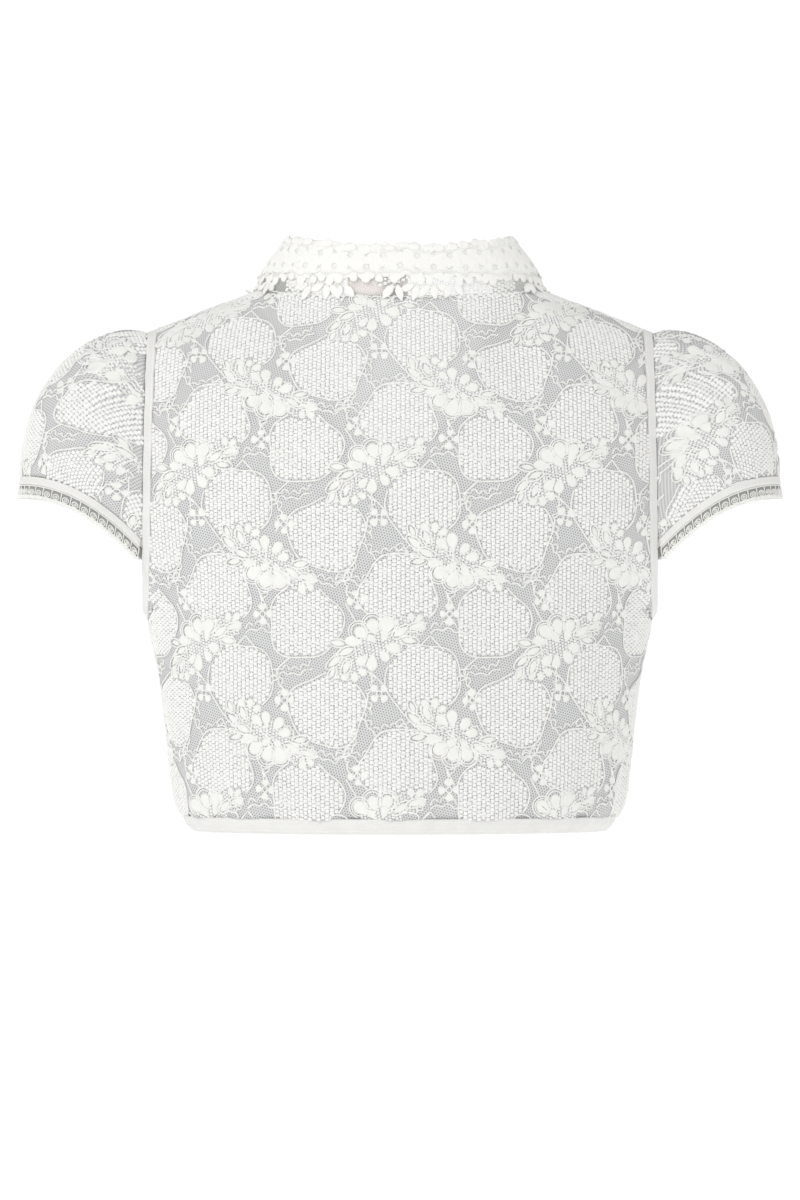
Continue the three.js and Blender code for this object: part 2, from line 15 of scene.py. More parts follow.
import bpy
import numpy as np
from bpy.types import ID, Material, Node, NodeSocket, NodeTree, Object
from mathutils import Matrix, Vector

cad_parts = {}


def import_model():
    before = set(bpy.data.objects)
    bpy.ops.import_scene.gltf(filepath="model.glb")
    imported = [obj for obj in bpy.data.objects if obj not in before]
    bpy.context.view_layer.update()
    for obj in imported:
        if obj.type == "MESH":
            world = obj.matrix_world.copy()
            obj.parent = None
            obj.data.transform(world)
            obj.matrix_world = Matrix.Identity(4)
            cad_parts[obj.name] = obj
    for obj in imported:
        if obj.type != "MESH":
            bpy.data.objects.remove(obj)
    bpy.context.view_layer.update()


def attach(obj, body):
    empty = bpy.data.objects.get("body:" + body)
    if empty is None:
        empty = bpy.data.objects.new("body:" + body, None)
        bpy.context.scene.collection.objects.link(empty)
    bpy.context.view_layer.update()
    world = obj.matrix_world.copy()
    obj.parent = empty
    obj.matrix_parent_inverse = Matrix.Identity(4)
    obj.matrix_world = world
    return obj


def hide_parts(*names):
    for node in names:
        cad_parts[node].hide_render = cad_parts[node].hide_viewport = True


LOG = logging.getLogger("dirndl_blouse")

MM = 0.001
TURN = 2 * math.pi
LEFTWARD = np.array([1.0, 0.0, 0.0])
BODY = "root"
FABRIC = "fabric"
RELIEF_DEPTH = 0.00025
SEAM = 0.3
ARMHOLE_SEAM = 0.4
Array = np.ndarray


# Small vector helpers


def vec(x: Array | float, y: Array | float, z: Array | float) -> Array:
    """Stacks coordinates into points, on a new last axis."""
    return np.stack(np.broadcast_arrays(x, y, z), axis=-1).astype(float)


def unit(v: Array) -> Array:
    """Returns vectors at length one."""
    return v / np.maximum(np.linalg.norm(v, axis=-1, keepdims=True), 1e-12)


def mix(a: Array | float, b: Array | float, share: Array | float) -> Array:
    """Blends from a, at share 0, to b, at share 1."""
    return a + (b - a) * share


def smooth(x: Array | float) -> Array:
    """Eases from 0 to 1, level at both ends."""
    x = np.clip(x, 0.0, 1.0)
    return x * x * (3.0 - 2.0 * x)


def level(v: Array) -> Array:
    """Takes the rise out of vectors."""
    return v * np.array([1.0, 1.0, 0.0])


def run_length(points: Array, axis: int = 0) -> Array:
    """Length along rows of points, from the first of each."""
    steps = np.linalg.norm(np.diff(points, axis=axis), axis=-1)
    return np.insert(np.cumsum(steps, axis=axis), 0, 0.0, axis=axis)


def sample(points: Array, run: Array, at: Array | float) -> Array:
    """Points of a row where its run has given values."""
    return np.stack([np.interp(at, run, points[:, k]) for k in range(points.shape[1])], -1)


# The form of the blouse, in millimetres


class Side(Enum):
    """Which half of the body a panel belongs to; the value is the way it faces along Y."""

    BACK = 1
    FRONT = -1


@dataclass(frozen=True)
class Section:
    """Half width and depths of the body at a height."""

    z: float
    half_width: float
    back: float
    front: float


@dataclass(frozen=True)
class Rise:
    """How a panel rises: its depth column, middle height and lean at the top."""

    side: Side
    depth: str
    mid_z: float
    lean: float


@dataclass(frozen=True)
class BodyForm:
    """The body of the blouse: side seams, armholes, neckline and the surfaces between them."""

    hem_bottom: float = -355.0
    casing: float = 9.4
    binding_width: float = 7.0
    armhole_x: float = 168.0
    armhole_flare: float = 1.5
    armhole_depth: float = 45.0
    armhole_z: float = -118.5
    armhole_height: float = 91.5
    neck_x: float = 95.0
    neck_back_y: float = 70.0
    neck_back_z: float = -5.0
    neck_front_y: float = 106.0
    neck_front_z: float = -140.0
    neck_front_lean: float = 0.28
    neck_share: float = 0.625
    side_share: float = 0.72
    cup_x: float = 72.0
    cup_z: float = -258.0
    cup_radius: float = 52.0
    cup_fullness: float = 8.0
    gathers: float = 4.0
    gather_depth: float = 1.4
    gather_reach: float = 0.34
    sections: tuple[Section, ...] = (
        Section(-355.0, 136.0, 88.0, 87.0),
        Section(-347.0, 141.5, 91.0, 92.0),
        Section(-336.0, 147.0, 93.5, 100.0),
        Section(-312.0, 151.0, 93.0, 112.0),
        Section(-280.0, 155.0, 93.0, 122.0),
        Section(-250.0, 159.0, 95.0, 126.0),
        Section(-216.0, 165.8, 97.0, 122.0),
        Section(-165.0, 168.0, 98.5, 111.0),
        Section(-118.5, 168.0, 98.5, 98.0),
    )

    @property
    def panel_bottom(self) -> float:
        """Height of the panels' lower edge, just above the hem casing."""
        return self.hem_bottom + self.casing + SEAM

    @property
    def back(self) -> Rise:
        """How the back rises."""
        return Rise(Side.BACK, "back", -118.5, 1.7)

    @property
    def front(self) -> Rise:
        """How each front rises."""
        return Rise(Side.FRONT, "front", -205.0, 1.2)

    def section(self, column: str, z: Array) -> Array:
        """A section's size at any height, on a smooth curve through the table.

        Args:
            column: name of the size.
            z: heights.

        Returns:
            The sizes at those heights.
        """
        heights = np.array([s.z for s in self.sections])
        sizes = np.array([getattr(s, column) for s in self.sections])
        last = len(heights) - 1
        low = np.maximum(np.arange(last + 1) - 1, 0)
        high = np.minimum(np.arange(last + 1) + 1, last)
        slopes = (sizes[high] - sizes[low]) / (heights[high] - heights[low])
        i = np.clip(np.searchsorted(heights, z) - 1, 0, last - 1)
        span = heights[i + 1] - heights[i]
        s = np.clip((z - heights[i]) / span, 0.0, 1.0)
        away = 1.0 - s
        ends = sizes[i] * (1 + 2 * s) * away**2 + sizes[i + 1] * s**2 * (3 - 2 * s)
        return ends + span * s * away * (slopes[i] * away - slopes[i + 1] * s)

    def armhole_edge(self, angle: Array) -> Array:
        """The left armhole's edge: 0 at the shoulder tip, positive in front."""
        return vec(
            self.armhole_x - self.armhole_flare * np.cos(angle),
            -self.armhole_depth * np.sin(angle),
            self.armhole_z + self.armhole_height * np.cos(angle),
        )

    def into_body(self, angle: Array) -> Array:
        """The way along the cloth from the armhole's edge into the body."""
        high = np.maximum(0.0, np.cos(angle)) ** 2
        low = np.maximum(0.0, -np.cos(angle)) ** 2
        mid = np.sin(angle) ** 2
        inward = -0.75 * mid - 0.93 * high - 0.5 * low
        return unit(vec(inward, -0.66 * np.sin(angle), 0.36 * high - 0.86 * low))

    def binding_normal(self, angle: Array) -> Array:
        """The way the armhole binding faces."""
        along = self.armhole_edge(angle + 0.01) - self.armhole_edge(angle - 0.01)
        return unit(np.cross(self.into_body(angle), along))

    def edge_angle(self, t: Array) -> Array:
        """The armhole angle at a row of a panel's edge."""
        low = mix(math.pi, math.pi / 2, (t - self.side_share) / (1 - self.side_share))
        high = mix(math.pi / 2, 0.0, t - 1)
        return np.where(t <= self.side_share, math.pi, np.where(t < 1, low, high))

    def panel_edge(self, t: Array) -> Array:
        """A panel's outer edge: up the side seam, then round the armhole to the shoulder tip."""
        reach = self.binding_width + ARMHOLE_SEAM
        angle = self.edge_angle(t)
        start = self.armhole_edge(np.array(math.pi)) + self.into_body(np.array(math.pi)) * reach
        z = mix(self.panel_bottom, start[2], t / self.side_share)
        seam = vec(self.section("half_width", z), 0.0, z)
        hole = self.armhole_edge(angle) + self.into_body(angle) * reach
        hole[..., 1] = np.abs(hole[..., 1])
        return np.where((t < self.side_share)[..., None], seam, hole)

    def panel_top(self, rise: Rise, u: Array) -> Array:
        """A panel's top line: the neckline, then the shoulder seam.

        Args:
            rise: the panel's side of the body.
            u: share of the way from the centre to the edge.

        Returns:
            The points of the line.
        """
        corner = vec(self.neck_x, 0.0, 0.0)
        tip = self.panel_edge(np.array(2.0))
        shoulder = corner + (tip - corner) * ((u - self.neck_share) / (1 - self.neck_share))[..., None]
        q = np.clip(u / self.neck_share, 0.0, 1.0)
        sweep = q * math.pi / 2
        over = np.maximum(0.0, np.cos(sweep))
        if rise.side is Side.BACK:
            neck = vec(self.neck_x * np.sin(sweep), self.neck_back_y * over, self.neck_back_z * over**2)
        else:
            z = self.neck_front_z * (1 - q) ** 1.15
            depth = self.neck_front_y - self.neck_front_lean * (z - self.neck_front_z)
            neck = vec(self.neck_x * np.sin(sweep) ** 0.95, depth * over**0.85, z)
        return np.where((u > self.neck_share)[..., None], shoulder, neck)

    def lower_point(self, rise: Rise, u: Array, t: Array) -> Array:
        """A point of a panel between the hem casing and the middle of the armhole.

        Args:
            rise: the panel's side of the body.
            u: share of the way from the centre to the edge.
            t: row, 0 at the casing and 1 at the middle of the armhole.

        Returns:
            The points.
        """
        edge = self.panel_edge(t)
        z = mix(mix(self.panel_bottom, rise.mid_z, t), edge[..., 2], u * u)
        depth = self.section(rise.depth, z)
        sweep = np.arccos(np.clip(edge[..., 1] / depth, 0.0, 1.0))
        bow = (np.cos(u * sweep) - np.cos(sweep)) / (1 - np.cos(sweep))
        p = vec(edge[..., 0] * np.sin(u * sweep) / np.sin(sweep), mix(edge[..., 1], depth, bow), z)
        if rise.side is Side.FRONT:
            aside, above = (p[..., 0] - self.cup_x) / self.cup_radius, (z - self.cup_z) / self.cup_radius
            p[..., 1] += self.cup_fullness * np.exp(-(aside**2 + above**2)) * (1 - u**4)
        fade = 1 - smooth(t / self.gather_reach)
        gather = self.gather_depth * np.cos(TURN * self.gathers * u) * fade
        p[..., 0] += gather * np.sin(u * math.pi / 2)
        p[..., 1] += gather * np.cos(u * math.pi / 2)
        return p

    def upper_point(self, rise: Rise, u: Array, t: Array) -> Array:
        """A point of a panel between the middle of the armhole and its top line.

        Args:
            rise: the panel's side of the body.
            u: share of the way from the centre to the edge.
            t: row, 1 at the middle of the armhole and 2 at the top line.

        Returns:
            The points.
        """
        mid = self.lower_point(rise, u, np.ones_like(t))
        top = self.panel_top(rise, u)
        up = np.sin((t - 1) * math.pi / 2)
        over = np.cos((t - 1) * math.pi / 2)
        bend = smooth(2 * u / self.neck_share - 1)
        return vec(
            mix(mid[..., 0], top[..., 0], mix(up, 1 - over, bend)),
            mix(top[..., 1], mid[..., 1], mix(1 - np.abs(up) ** rise.lean, over, bend)),
            mix(mid[..., 2], top[..., 2], up),
        )

    def panel_point(self, rise: Rise, u: Array, t: Array) -> Array:
        """A point of a panel's outer face.

        Args:
            rise: the panel's own rise.
            u: from the centre line, 0, to a side, 1 or -1.
            t: from the hem casing, 0, past the middle of the armhole, 1, to the top line, 2.

        Returns:
            Points in millimetres.
        """
        u, t = (np.asarray(v, dtype=float) for v in np.broadcast_arrays(u, t))
        across = np.abs(u)
        low = self.lower_point(rise, across, np.minimum(t, 1.0))
        high_t = np.maximum(t, 1.0)
        slip = self.panel_edge(high_t) - self.upper_point(rise, np.ones_like(across), high_t)
        high = self.upper_point(rise, across, high_t) + slip * (across**6)[..., None]
        p = np.where((t <= 1)[..., None], low, high)
        x = np.where(u < 0, -p[..., 0], p[..., 0])
        return vec(x, rise.side.value * (p[..., 1] + SEAM / 2), p[..., 2])

    def panel_normal(self, rise: Rise, u: Array, t: Array) -> Array:
        """The way a panel faces at a point."""
        step = 0.004
        t = np.minimum(t, 1.999)
        du = self.panel_point(rise, u + step, t) - self.panel_point(rise, u - step, t)
        dt = self.panel_point(rise, u, np.minimum(t + step, 2.0)) - self.panel_point(rise, u, t - step)
        return unit(np.cross(du, dt)) * -rise.side.value

    def casing_point(self, angle: Array, z: Array) -> Array:
        """A point of the hem's line: angle 0 at the centre front, pi at the centre back."""
        front, back = self.section("front", z), self.section("back", z)
        depth = np.where(np.cos(angle) > 0, front, back)
        return vec(self.section("half_width", z) * np.sin(angle), -depth * np.cos(angle), z)


@dataclass(frozen=True)
class SleeveForm:
    """The puffed cap sleeve on the wearer's left, from the armhole to the cuff."""

    body: BodyForm
    half_sweep: float = math.radians(117.0)
    start: float = 0.4
    puff: float = 4.0
    gathers: float = 12.0
    gather_sweep: float = math.radians(78.0)
    gather_depth: float = 2.7
    cuff_x: float = 169.4
    cuff_reach: float = 80.6
    cuff_depth: float = 40.0
    cuff_spread: float = 0.6
    cuff_z: float = -121.0
    cuff_drop: float = 42.0
    cuff_arch: float = 2.08
    band: float = 5.4

    def _sweep(self, angle: Array) -> Array:
        """Where an armhole angle falls on the cuff's arch, from 0 to pi."""
        return (angle + self.half_sweep) / (2 * self.half_sweep) * math.pi

    def cuff_point(self, angle: Array) -> Array:
        """The cuff's line."""
        sweep = self._sweep(angle)
        out = np.sin(sweep)
        return vec(
            self.cuff_x + self.cuff_reach * out,
            self.cuff_depth * np.cos(sweep) * (1 + self.cuff_spread * out),
            self.cuff_z - self.cuff_drop * np.maximum(0.0, 1 - out) ** self.cuff_arch,
        )

    def cuff_fall(self, angle: Array) -> Array:
        """The way the cuff hangs from its line."""
        return unit(vec(0.18, 0.16 * np.cos(self._sweep(angle)), -0.97))

    def cuff_normal(self, angle: Array) -> Array:
        """The way the cuff faces, away from the arm."""
        along = self.cuff_point(angle + 0.01) - self.cuff_point(angle - 0.01)
        n = unit(np.cross(along, self.cuff_fall(angle)))
        away = self.cuff_point(angle) - np.array([190.0, 0.0, 0.0])
        away[..., 2] = 0.0
        facing = np.sign(np.sum(n * away, axis=-1, keepdims=True))
        return n * facing

    def point(self, angle: Array, share: Array) -> Array:
        """A point of the sleeve's outer face, share 0 at the armhole and 1 at the cuff.

        Args:
            angle: place round the armhole.
            share: share of the way down.

        Returns:
            The points.
        """
        tau = share * math.pi / 2
        root = self.body.armhole_edge(angle) + np.array([self.start, 0.0, 0.0])
        cuff = self.cuff_point(angle)
        down = 1 - np.cos(tau)
        p = vec(
            mix(root[..., 0], cuff[..., 0], np.sin(tau)),
            mix(root[..., 1], cuff[..., 1], down),
            mix(root[..., 2], cuff[..., 2], down),
        )
        span = self.gather_sweep
        gathered = 1 - smooth((np.abs(angle) - 0.85 * span) / (0.15 * span))
        uneven = 0.62 + 0.38 * np.sin(6.3 * angle + 0.9)
        wave = uneven * np.cos(angle / span * self.gathers * math.pi + 0.7 * np.sin(4.1 * angle))
        fade = np.sin(np.minimum(1.0, share / 0.16) * math.pi / 2) * (1 - smooth(share / 0.75))
        short = smooth((self.half_sweep - np.abs(angle)) / 0.5)
        lift = self.puff * np.sin(2 * tau) * short + self.gather_depth * wave * gathered * fade
        return p + vec(0.0, -np.sin(angle), np.cos(angle)) * lift[..., None]


@dataclass(frozen=True)
class CollarForm:
    """The guipure collar on the left half: stations round the neckline, and its standing height."""

    body: BodyForm
    back_height: float = 38.0
    side_height: float = 44.0
    front_height: float = 18.0
    rest: float = 0.6
    wall: float = 1.6

    def stand(self, rise: Rise, q: Array) -> tuple[Array, Array]:
        """Height and lean of the collar at a share of the neckline from its centre to the shoulder."""
        if rise.side is Side.BACK:
            height = mix(self.back_height, self.side_height, q * q)
            return height, vec(-0.62 * q * q, mix(-0.21, -0.1, q), mix(0.97, 0.78, q))
        arch = np.sin(math.pi * q)
        height = mix(self.front_height, self.side_height, q**1.3)
        return height, vec(-0.62 * q - 0.45 * arch, 0.25 * (1 - q) - 0.1 * q, 0.95 - 0.17 * q - 0.38 * arch)

    def row_below(self, rise: Rise, u: Array, drop: Array) -> Array:
        """Rows of a panel whose points lie a given way below its top line.

        Args:
            rise: the panel's side of the body.
            u: share of the way from the centre to the edge.
            drop: the way below, along the cloth.

        Returns:
            The rows.
        """
        top = self.body.panel_point(rise, u, np.full_like(u, 2.0))
        low, high = np.ones_like(u), np.full_like(u, 2.0)
        for _ in range(22):
            t = (low + high) / 2
            far = np.linalg.norm(self.body.panel_point(rise, u, t) - top, axis=-1) > drop
            low, high = np.where(far, t, low), np.where(far, high, t)
        return low

    def lying(self, rise: Rise, u: Array, drop: float) -> Array:
        """Points of the collar's outer face where it lies on a panel, a given way below the neckline."""
        u = np.maximum(u, 0.004)
        t = self.row_below(rise, u, np.full_like(u, drop))
        outward = self.body.panel_normal(rise, u, t)
        return self.body.panel_point(rise, u, t) + outward * (self.rest + self.wall)

    def standing(self, rise: Rise, u: Array, level: float) -> Array:
        """Points of the collar's outer face at a share of its standing height.

        Args:
            rise: the panel's side of the body.
            u: share of the way from the centre to the edge.
            level: the share of its height.

        Returns:
            The points.
        """
        clearance = self.rest + self.wall
        u = np.maximum(u, 0.004)
        normal = self.body.panel_normal(rise, u, np.full_like(u, 1.999))
        height, lean = self.stand(rise, u / self.body.neck_share)
        p = self.body.panel_point(rise, u, np.full_like(u, 2.0)) + normal * clearance
        p[..., 0] += lean[..., 0] * height * level**1.5
        p[..., 1] += lean[..., 1] * height * level**1.5
        p[..., 2] += lean[..., 2] * height * level**0.85
        p[..., 1] -= np.where(u > self.body.neck_share - 1e-6, normal[..., 1] * clearance, 0.0)
        return p


# Cloth: a grid of points that also knows the fabric's own flat coordinates


@dataclass(frozen=True)
class Placed:
    """Fabric points on a piece: where they lie, and how the fabric runs and is drawn together there."""

    points: Array
    normals: Array
    width: Array
    length: Array
    inside: Array

    def drawn(self) -> Array:
        """How much of its flat width and length the fabric keeps at each point."""
        kept = np.stack([np.linalg.norm(self.width, axis=-1), np.linalg.norm(self.length, axis=-1)], -1)
        return np.clip(kept, 0.4, 1.2)


@dataclass(frozen=True)
class Seat:
    """Places for small shapes whose tips and sides lie on a piece."""

    points: Array
    normals: Array
    forward: Array
    across: Array
    rooted: Array
    inside: Array

    def sizes(self, height: Array) -> Array:
        """Lengths and widths as they come out on the piece, with given heights."""
        length, width = np.linalg.norm(self.forward, axis=-1), np.linalg.norm(self.across, axis=-1)
        return np.column_stack([length, width, height])


class Cloth:
    """A piece's outer face as a grid, with the flat fabric's coordinates at each point."""

    def __init__(self, grid: Array, across: Array, along: Array, outward: Array) -> None:
        """Keeps the grid and works out its normals.

        Args:
            grid: points in millimetres, rows by columns.
            across: the fabric's width coordinate at each point, in millimetres.
            along: the fabric's length coordinate at each point.
            outward: a rough outward direction at each point.
        """
        self.grid = grid
        self.flat = np.stack([across, along], axis=-1)
        normals = unit(np.cross(np.gradient(grid, axis=1), np.gradient(grid, axis=0)))
        self.normals = normals * (1.0 if np.sum(normals * outward) >= 0 else -1.0)

    @property
    def area(self) -> float:
        """Area of the face in square metres."""
        g = self.grid
        first = np.cross(g[1:, :-1] - g[:-1, :-1], g[:-1, 1:] - g[:-1, :-1])
        second = np.cross(g[1:, :-1] - g[1:, 1:], g[:-1, 1:] - g[1:, 1:])
        twice = np.linalg.norm(first, axis=-1).sum() + np.linalg.norm(second, axis=-1).sum()
        return float(twice / 2) * MM * MM

    def span(self, axis: int) -> tuple[float, float]:
        """Lowest and highest fabric coordinate along an axis, in millimetres."""
        return float(self.flat[..., axis].min()), float(self.flat[..., axis].max())

    def locate(self, flat: Array) -> tuple[Array, Array, Array]:
        """Finds fabric coordinates on the grid.

        Args:
            flat: points of the flat fabric, in millimetres.

        Returns:
            Row and column of each point as real numbers, and whether it lies on the piece.
        """
        rows, columns = self.flat.shape[:2]
        skip_i, skip_j = max(1, rows // 24), max(1, columns // 24)
        coarse = self.flat[::skip_i, ::skip_j]
        nodes = coarse.reshape(-1, 2)
        i, j = np.empty(len(flat)), np.empty(len(flat))
        for start in range(0, len(flat), 20000):
            part = flat[start : start + 20000]
            near = ((part[:, None] - nodes[None]) ** 2).sum(axis=-1).argmin(axis=1)
            i[start : start + 20000] = near // coarse.shape[1] * skip_i
            j[start : start + 20000] = near % coarse.shape[1] * skip_j
        top_i, top_j = rows - 1 - 1e-6, columns - 1 - 1e-6
        for _ in range(14):
            i, j = np.clip(i, 0, top_i), np.clip(j, 0, top_j)
            here, di, dj = self._patch(self.flat, i, j)
            miss = flat - here
            det = di[:, 0] * dj[:, 1] - di[:, 1] * dj[:, 0]
            det = np.where(np.abs(det) < 1e-9, 1e-9, det)
            step_i = (miss[:, 0] * dj[:, 1] - miss[:, 1] * dj[:, 0]) / det
            step_j = (di[:, 0] * miss[:, 1] - di[:, 1] * miss[:, 0]) / det
            i, j = i + np.clip(step_i, -6, 6), j + np.clip(step_j, -6, 6)
        i, j = np.clip(i, 0, top_i), np.clip(j, 0, top_j)
        here, _, _ = self._patch(self.flat, i, j)
        return i, j, np.linalg.norm(flat - here, axis=-1) < 0.25

    @staticmethod
    def _patch(field_: Array, i: Array, j: Array) -> tuple[Array, Array, Array]:
        """Value of a grid at real rows and columns, and its change along each."""
        low_i, low_j = i.astype(int), j.astype(int)
        s, r = (i - low_i)[:, None], (j - low_j)[:, None]
        a, b = field_[low_i, low_j], field_[low_i, low_j + 1]
        c, d = field_[low_i + 1, low_j], field_[low_i + 1, low_j + 1]
        value = a * (1 - s) * (1 - r) + b * (1 - s) * r + c * s * (1 - r) + d * s * r
        return value, (c - a) * (1 - r) + (d - b) * r, (b - a) * (1 - s) + (d - c) * s

    def place(self, flat: Array, lift: float = 0.0) -> Placed:
        """Puts fabric points on the piece, a little above its face.

        Args:
            flat: points of the flat fabric.
            lift: height above the face, in millimetres.

        Returns:
            Where they come to lie.
        """
        i, j, inside = self.locate(flat)
        point, grid_i, grid_j = self._patch(self.grid, i, j)
        _, flat_i, flat_j = self._patch(self.flat, i, j)
        normal = unit(self._patch(self.normals, i, j)[0])
        det = flat_i[:, 0] * flat_j[:, 1] - flat_i[:, 1] * flat_j[:, 0]
        det = np.where(np.abs(det) < 1e-9, 1e-9, det)[:, None]
        width = (grid_i * flat_j[:, 1:] - grid_j * flat_i[:, 1:]) / det
        length = (grid_j * flat_i[:, :1] - grid_i * flat_j[:, :1]) / det
        return Placed(point + normal * lift, normal, width, length, inside)

    def seat(self, base: Array, degrees: Array, length: Array, width: Array, lift: float) -> Seat:
        """Seats small shapes on the piece.

        Args:
            base: flat points where the shapes start.
            degrees: flat angles that they point along.
            length: their flat lengths.
            width: their flat widths.
            lift: height above the face, in millimetres.

        Returns:
            Their places.
        """
        angle = np.radians(degrees)
        ahead = np.stack([np.cos(angle), np.sin(angle)], -1) * length[:, None]
        aside = np.stack([-np.sin(angle), np.cos(angle)], -1) * width[:, None] / 2
        steps = (0 * ahead, ahead, ahead / 2 + aside, ahead / 2 - aside)
        root, tip, left, right = (self.place(base + step, lift) for step in steps)
        forward, across = tip.points - root.points, left.points - right.points
        inside = root.inside & tip.inside & left.inside & right.inside
        return Seat(root.points, unit(np.cross(forward, across)), forward, across, root.inside, inside)


# Meshes


def linked(name: str, data: ID) -> Object:
    """Makes an object of its data and puts it in the scene."""
    made = bpy.data.objects.new(name, data)
    bpy.context.scene.collection.objects.link(made)
    return made


def smooth_object(name: str, points: Array, edges: Sequence, faces: Sequence) -> Object:
    """Makes an object of points in metres, with smooth faces and no material."""
    mesh = bpy.data.meshes.new(name)
    mesh.from_pydata(np.asarray(points, dtype=float).tolist(), edges, [list(map(int, f)) for f in faces])
    mesh.shade_smooth()
    return linked(name, mesh)


def mesh_object(name: str, points: Array, faces: Sequence, material: Material) -> Object:
    """Makes an object of points in millimetres, with smooth faces and one material."""
    made = smooth_object(name, np.asarray(points) * MM, [], faces)
    made.data.materials.append(material)
    return made


def map_fabric(piece: Object, flat: Array) -> None:
    """Gives a piece its UV map: the fabric's flat coordinates at each vertex, in metres."""
    mesh = piece.data
    layer = mesh.uv_layers.new(name=FABRIC)
    corners = np.empty(len(mesh.loops), dtype=np.int32)
    mesh.loops.foreach_get("vertex_index", corners)
    layer.data.foreach_set("uv", (flat * MM)[corners].astype(np.float32).ravel())


def grid_faces(rows: int, columns: int, ring: bool = False, start: int = 0) -> Array:
    """Quads of a grid of points stored row by row."""
    wide = columns if ring else columns - 1
    i, j = np.meshgrid(np.arange(rows - 1), np.arange(wide), indexing="ij")
    k, low, high = (j + 1) % columns, i * columns, (i + 1) * columns
    return np.stack([low + j, low + k, high + k, high + j], -1).reshape(-1, 4) + start


def turned_out(points: Array, faces: Array) -> Array:
    """Turns quads so that a closed surface faces out."""
    p = points[faces]
    first = np.einsum("ij,ij->i", p[:, 0], np.cross(p[:, 1], p[:, 2]))
    second = np.einsum("ij,ij->i", p[:, 0], np.cross(p[:, 2], p[:, 3]))
    return faces if (first.sum() + second.sum()) >= 0 else faces[:, ::-1]


def wall_mesh(
    name: str,
    grid: Array,
    normals: Array,
    outer: Array | float,
    inner: float,
    material: Material,
    flat: Array,
) -> Object:
    """A closed wall of cloth between two offsets of a grid.

    Args:
        name: the object's name.
        grid: points in millimetres, rows by columns.
        normals: directions of the offsets.
        outer: distance of the outer face from the points.
        inner: distance of the inner face behind them.
        material: its finish.
        flat: the fabric's coordinates at the points, for the UV map.

    Returns:
        The new object.
    """
    rows, columns = grid.shape[:2]
    front = (grid + normals * np.broadcast_to(outer, (rows, columns))[..., None]).reshape(-1, 3)
    back = (grid - normals * inner).reshape(-1, 3)
    count = rows * columns
    faces = [grid_faces(rows, columns), grid_faces(rows, columns, start=count)[:, ::-1]]
    along, up = np.arange(columns - 1), np.arange(rows - 1) * columns
    last_row, last_column = count - columns, columns - 1
    rims = ((along, 1, 1), (along + last_row, 1, -1), (up, columns, -1), (up + last_column, columns, 1))
    for a, step, turn in rims:
        b = a + step
        faces.append(np.stack([a, a + count, b + count, b], -1)[:, ::turn])
    points = np.concatenate([front, back])
    made = mesh_object(name, points, turned_out(points, np.concatenate(faces)), material)
    map_fabric(made, np.concatenate([flat.reshape(-1, 2)] * 2))
    return made


def swept_band(
    name: str,
    path: Array,
    across: Array,
    normals: Array,
    profile: Sequence[tuple[float, float]],
    material: Material,
    ring: bool,
) -> Object:
    """A band with a closed cross-section along a path.

    Args:
        name: the object's name.
        path: the path's points, in millimetres.
        across: the band's width direction at each point.
        normals: the way the band faces at each point.
        profile: corners of the cross-section, as distance across and lift.
        material: its finish.
        ring: True if the path closes.

    Returns:
        The new object, with a UV map of length along and distance across.
    """
    shape = np.array(profile)
    grid = path[:, None] + across[:, None] * shape[None, :, :1] + normals[:, None] * shape[None, :, 1:]
    points = grid.reshape(-1, 3)
    count, sides = len(path), len(profile)
    step = np.arange(count if ring else count - 1)
    here, after = step * sides, (step + 1) % count * sides
    faces = []
    for k in range(sides):
        n = (k + 1) % sides
        faces.append(np.stack([here + k, here + n, after + n, after + k], -1))
    quads = turned_out(points, np.concatenate(faces))
    polygons = quads.tolist()
    if not ring:
        way = -1 if np.array_equal(quads[0], faces[0][0]) else 1
        last = (count - 1) * sides
        polygons += [range(sides)[::way], range(last, last + sides)[::-way]]
    made = mesh_object(name, points, polygons, material)
    flat = np.stack(np.broadcast_arrays(run_length(path)[:, None], run_length(shape)[None]), -1)
    map_fabric(made, flat.reshape(-1, 2))
    return made


def band_profile(width: float, top: float, bottom: float, soft: float = 0.8) -> list[tuple[float, float]]:
    """Cross-section of a flat folded band with soft edges.

    Args:
        width: its width.
        top: height of its outer face.
        bottom: height of its inner face.
        soft: how far its outer edges are rounded.

    Returns:
        Places across and heights of the closed outline.
    """
    return [
        (0.0, bottom + 0.35),
        (0.0, top - 0.45),
        (soft * 0.45, top - 0.1),
        (soft * 1.6, top),
        (width * 0.5, top - 0.12),
        (width - soft * 1.6, top),
        (width - soft * 0.45, top - 0.1),
        (width, top - 0.45),
        (width, bottom + 0.35),
        (width - soft * 0.6, bottom),
        (soft * 0.6, bottom),
    ]


def mirrored_points(points: Array) -> Array:
    """Points on the wearer's other side."""
    return points * np.array([-1.0, 1.0, 1.0])


class Hand(Enum):
    """The wearer's left or right."""

    LEFT = "left"
    RIGHT = "right"

    def place(self, points: Array) -> Array:
        """Points made on the left, on this side."""
        return points if self is Hand.LEFT else mirrored_points(points)


def mirrored_copy(source: Object, name: str) -> Object:
    """A piece for the wearer's other side, its faces turned out again.

    Args:
        source: the piece on the first side.
        name: name of the new piece.

    Returns:
        The new piece.
    """
    mesh = source.data.copy()
    mesh.name = name
    points = np.empty(len(mesh.vertices) * 3, dtype=np.float32)
    mesh.vertices.foreach_get("co", points)
    points[0::3] *= -1
    mesh.vertices.foreach_set("co", points)
    mesh.flip_normals()
    mesh.update()
    return linked(name, mesh)


# Geometry Nodes that scatter small shapes and run cords


